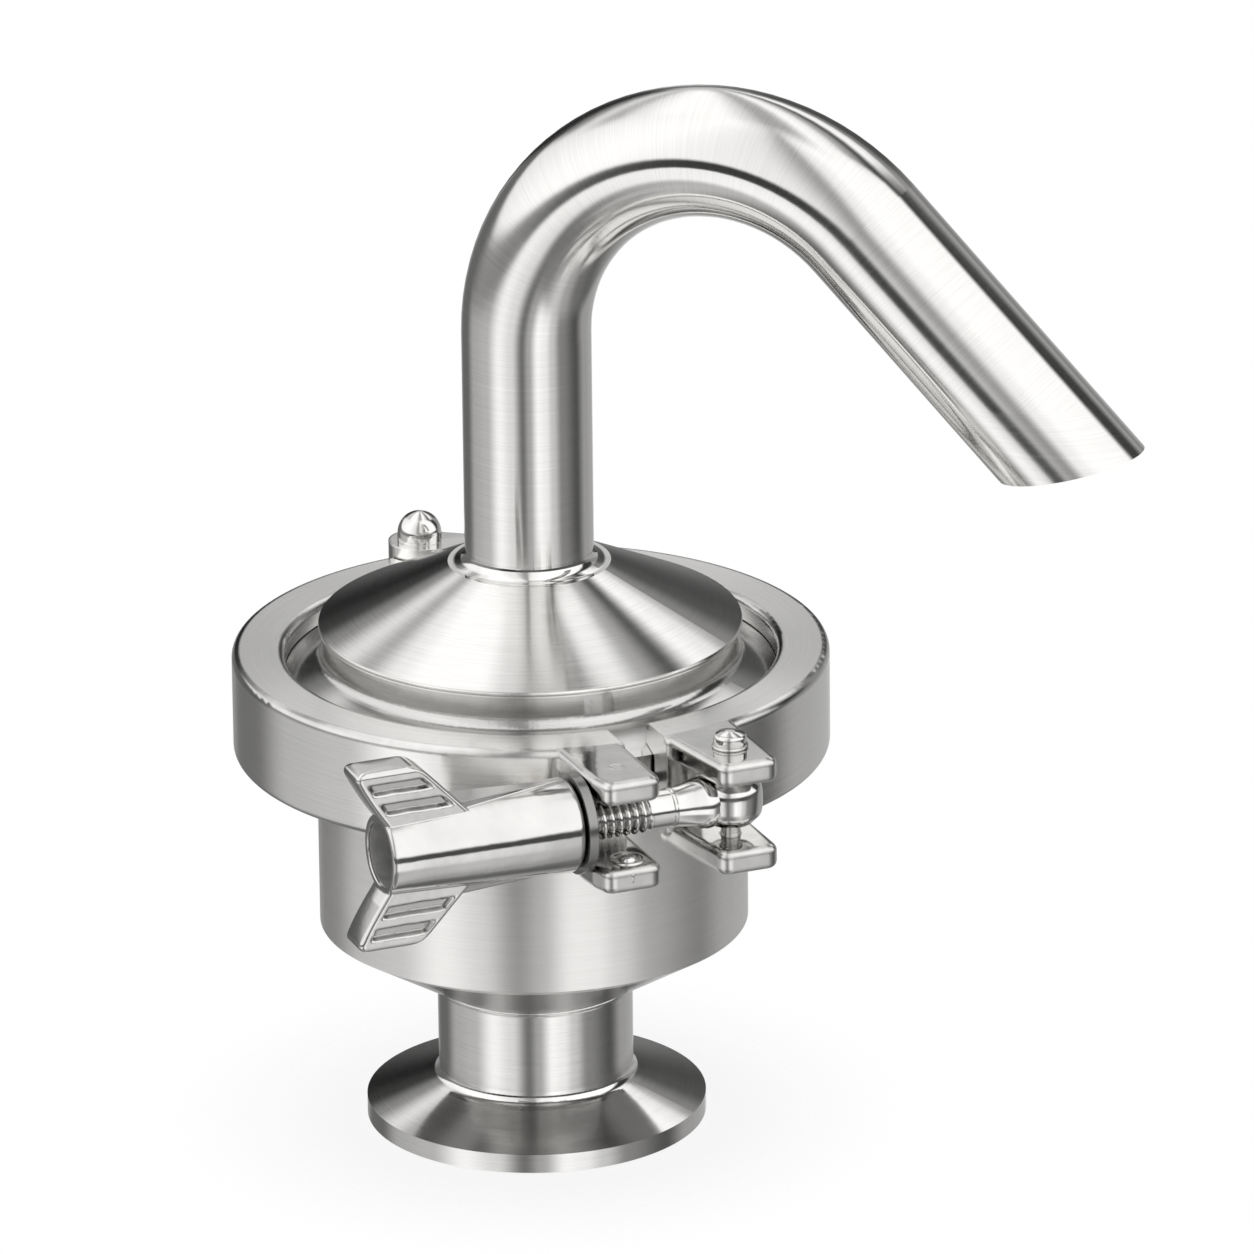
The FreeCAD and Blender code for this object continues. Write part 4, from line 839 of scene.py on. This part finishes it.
def make_nut_bore():
    """The rough-drilled wall and floor of the hole in the nut's end."""
    profile = [(29.0, 4.7), (29.0, 4.64), (28.8, 4.6), (14.7, 4.6), (14.5, 4.4), (14.5, 3.1), (14.4, 3.1),
               (14.4, 4.7)]
    mesh = bmesh.new()
    add_rings(mesh, [along_bolt(radius, run, 64) for run, radius in profile], closed=True)
    return finished_mesh("drilled_hole", mesh, on_clamp(*NUT_PLACE), "turning_nut")


def make_spring():
    """The coil spring, built at one length, though the real one shortens as the valve lifts."""
    low, high, coil, wire, turns = 31.0, 56.0, 9.0, 1.1, 5.5
    steps, sides = 264, 16
    upwards = Vector((0, 0, 1))
    rings = []
    for step in range(steps + 1):
        share = step / steps
        angle = 2 * math.pi * turns * share
        outward = Vector((math.cos(angle), math.sin(angle), 0))
        centre = coil * outward + (low + wire + (high - low - 2 * wire) * share) * upwards
        around = [2 * math.pi * side / sides for side in range(sides)]
        rings.append([centre + wire * (math.cos(turn) * outward + math.sin(turn) * upwards)
                      for turn in around])
    first, last = ([sum(points, Vector()) / sides] for points in (rings[0], rings[-1]))
    mesh = bmesh.new()
    add_rings(mesh, [first] + rings + [last])
    spring = finished_mesh("coil_spring", mesh, Matrix.Identity(4), "valve_body")
    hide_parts("valve_spring")
    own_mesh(spring)
    return spring


def make_pieces():
    polished = polished_steel("polished_cast", 0.09)
    # Painted shade: the wing nut's steel is made darker, and its grip grooves darker still
    gripped = polished_steel("grip_steel_painted_shade", 0.09, shade(STEEL, 0.9), hollows=dull_shaded_grip_grooves)
    dress(polished_steel("threaded_steel", 0.09, hollows=thread_roots), make_eye_bolt())
    dress(gripped, make_wing_nut())
    dress(polished, make_eye_pin(), make_rivet(), make_gate_mark(), make_cover_rim())
    dress(polished_steel("cast_ridges", 0.2, waviness=0.2), make_lug_mark())
    dress(bore_steel("drilled_steel"), make_nut_bore())
    dress(polished, make_weld(), "hinge_pin")
    dress(polished_steel("coil_wire", 0.28, STEEL_DARK), make_spring())


def dress_nodes():
    dress(ferrule_steel("brushed_neck"), "inlet_ferrule")
    dress(body_steel("brushed_body_painted_light_and_shade"), "body_shell", "body_flange")
    # Painted shade: the cover's wall gets darker steel
    dress(turned_steel("brushed_cover_painted_shade", 0.15, shade(STEEL, 0.8)), "outlet_flange")
    dress(cone_steel("brushed_cone"), "outlet_cone")
    dress(clamp_steel("clamp_satin"), "clamp_half_left", "clamp_half_right")
    dress(tube_steel("brushed_tube"), "gooseneck_tube")
    # Painted shade: the thrust washer, in the gap between the nut and the lug, gets very dark steel
    dress(polished_steel("washer_painted_shade", 0.22, shade(STEEL_DARK, 0.6)), "thrust_washer")
    dress(turned_steel("machined", 0.3), "seat_ring", "valve_disc", "seal_retainer", "valve_stem",
          "disc_nut", "spring_plate", "guide_spider", "adjusting_screw", "lock_nut")
    dress(soft_material("black_rubber", (0.03, 0.03, 0.03), 0.6, 900), "clamp_gasket", "seat_seal")
    dress(soft_material("white_plastic", (0.82, 0.82, 0.8), 0.45, 700), "stem_bush")


bpy.context.scene.view_settings.view_transform = "Standard"
make_camera()
make_world()
make_tent()
make_floor()
dress_nodes()
make_pieces()
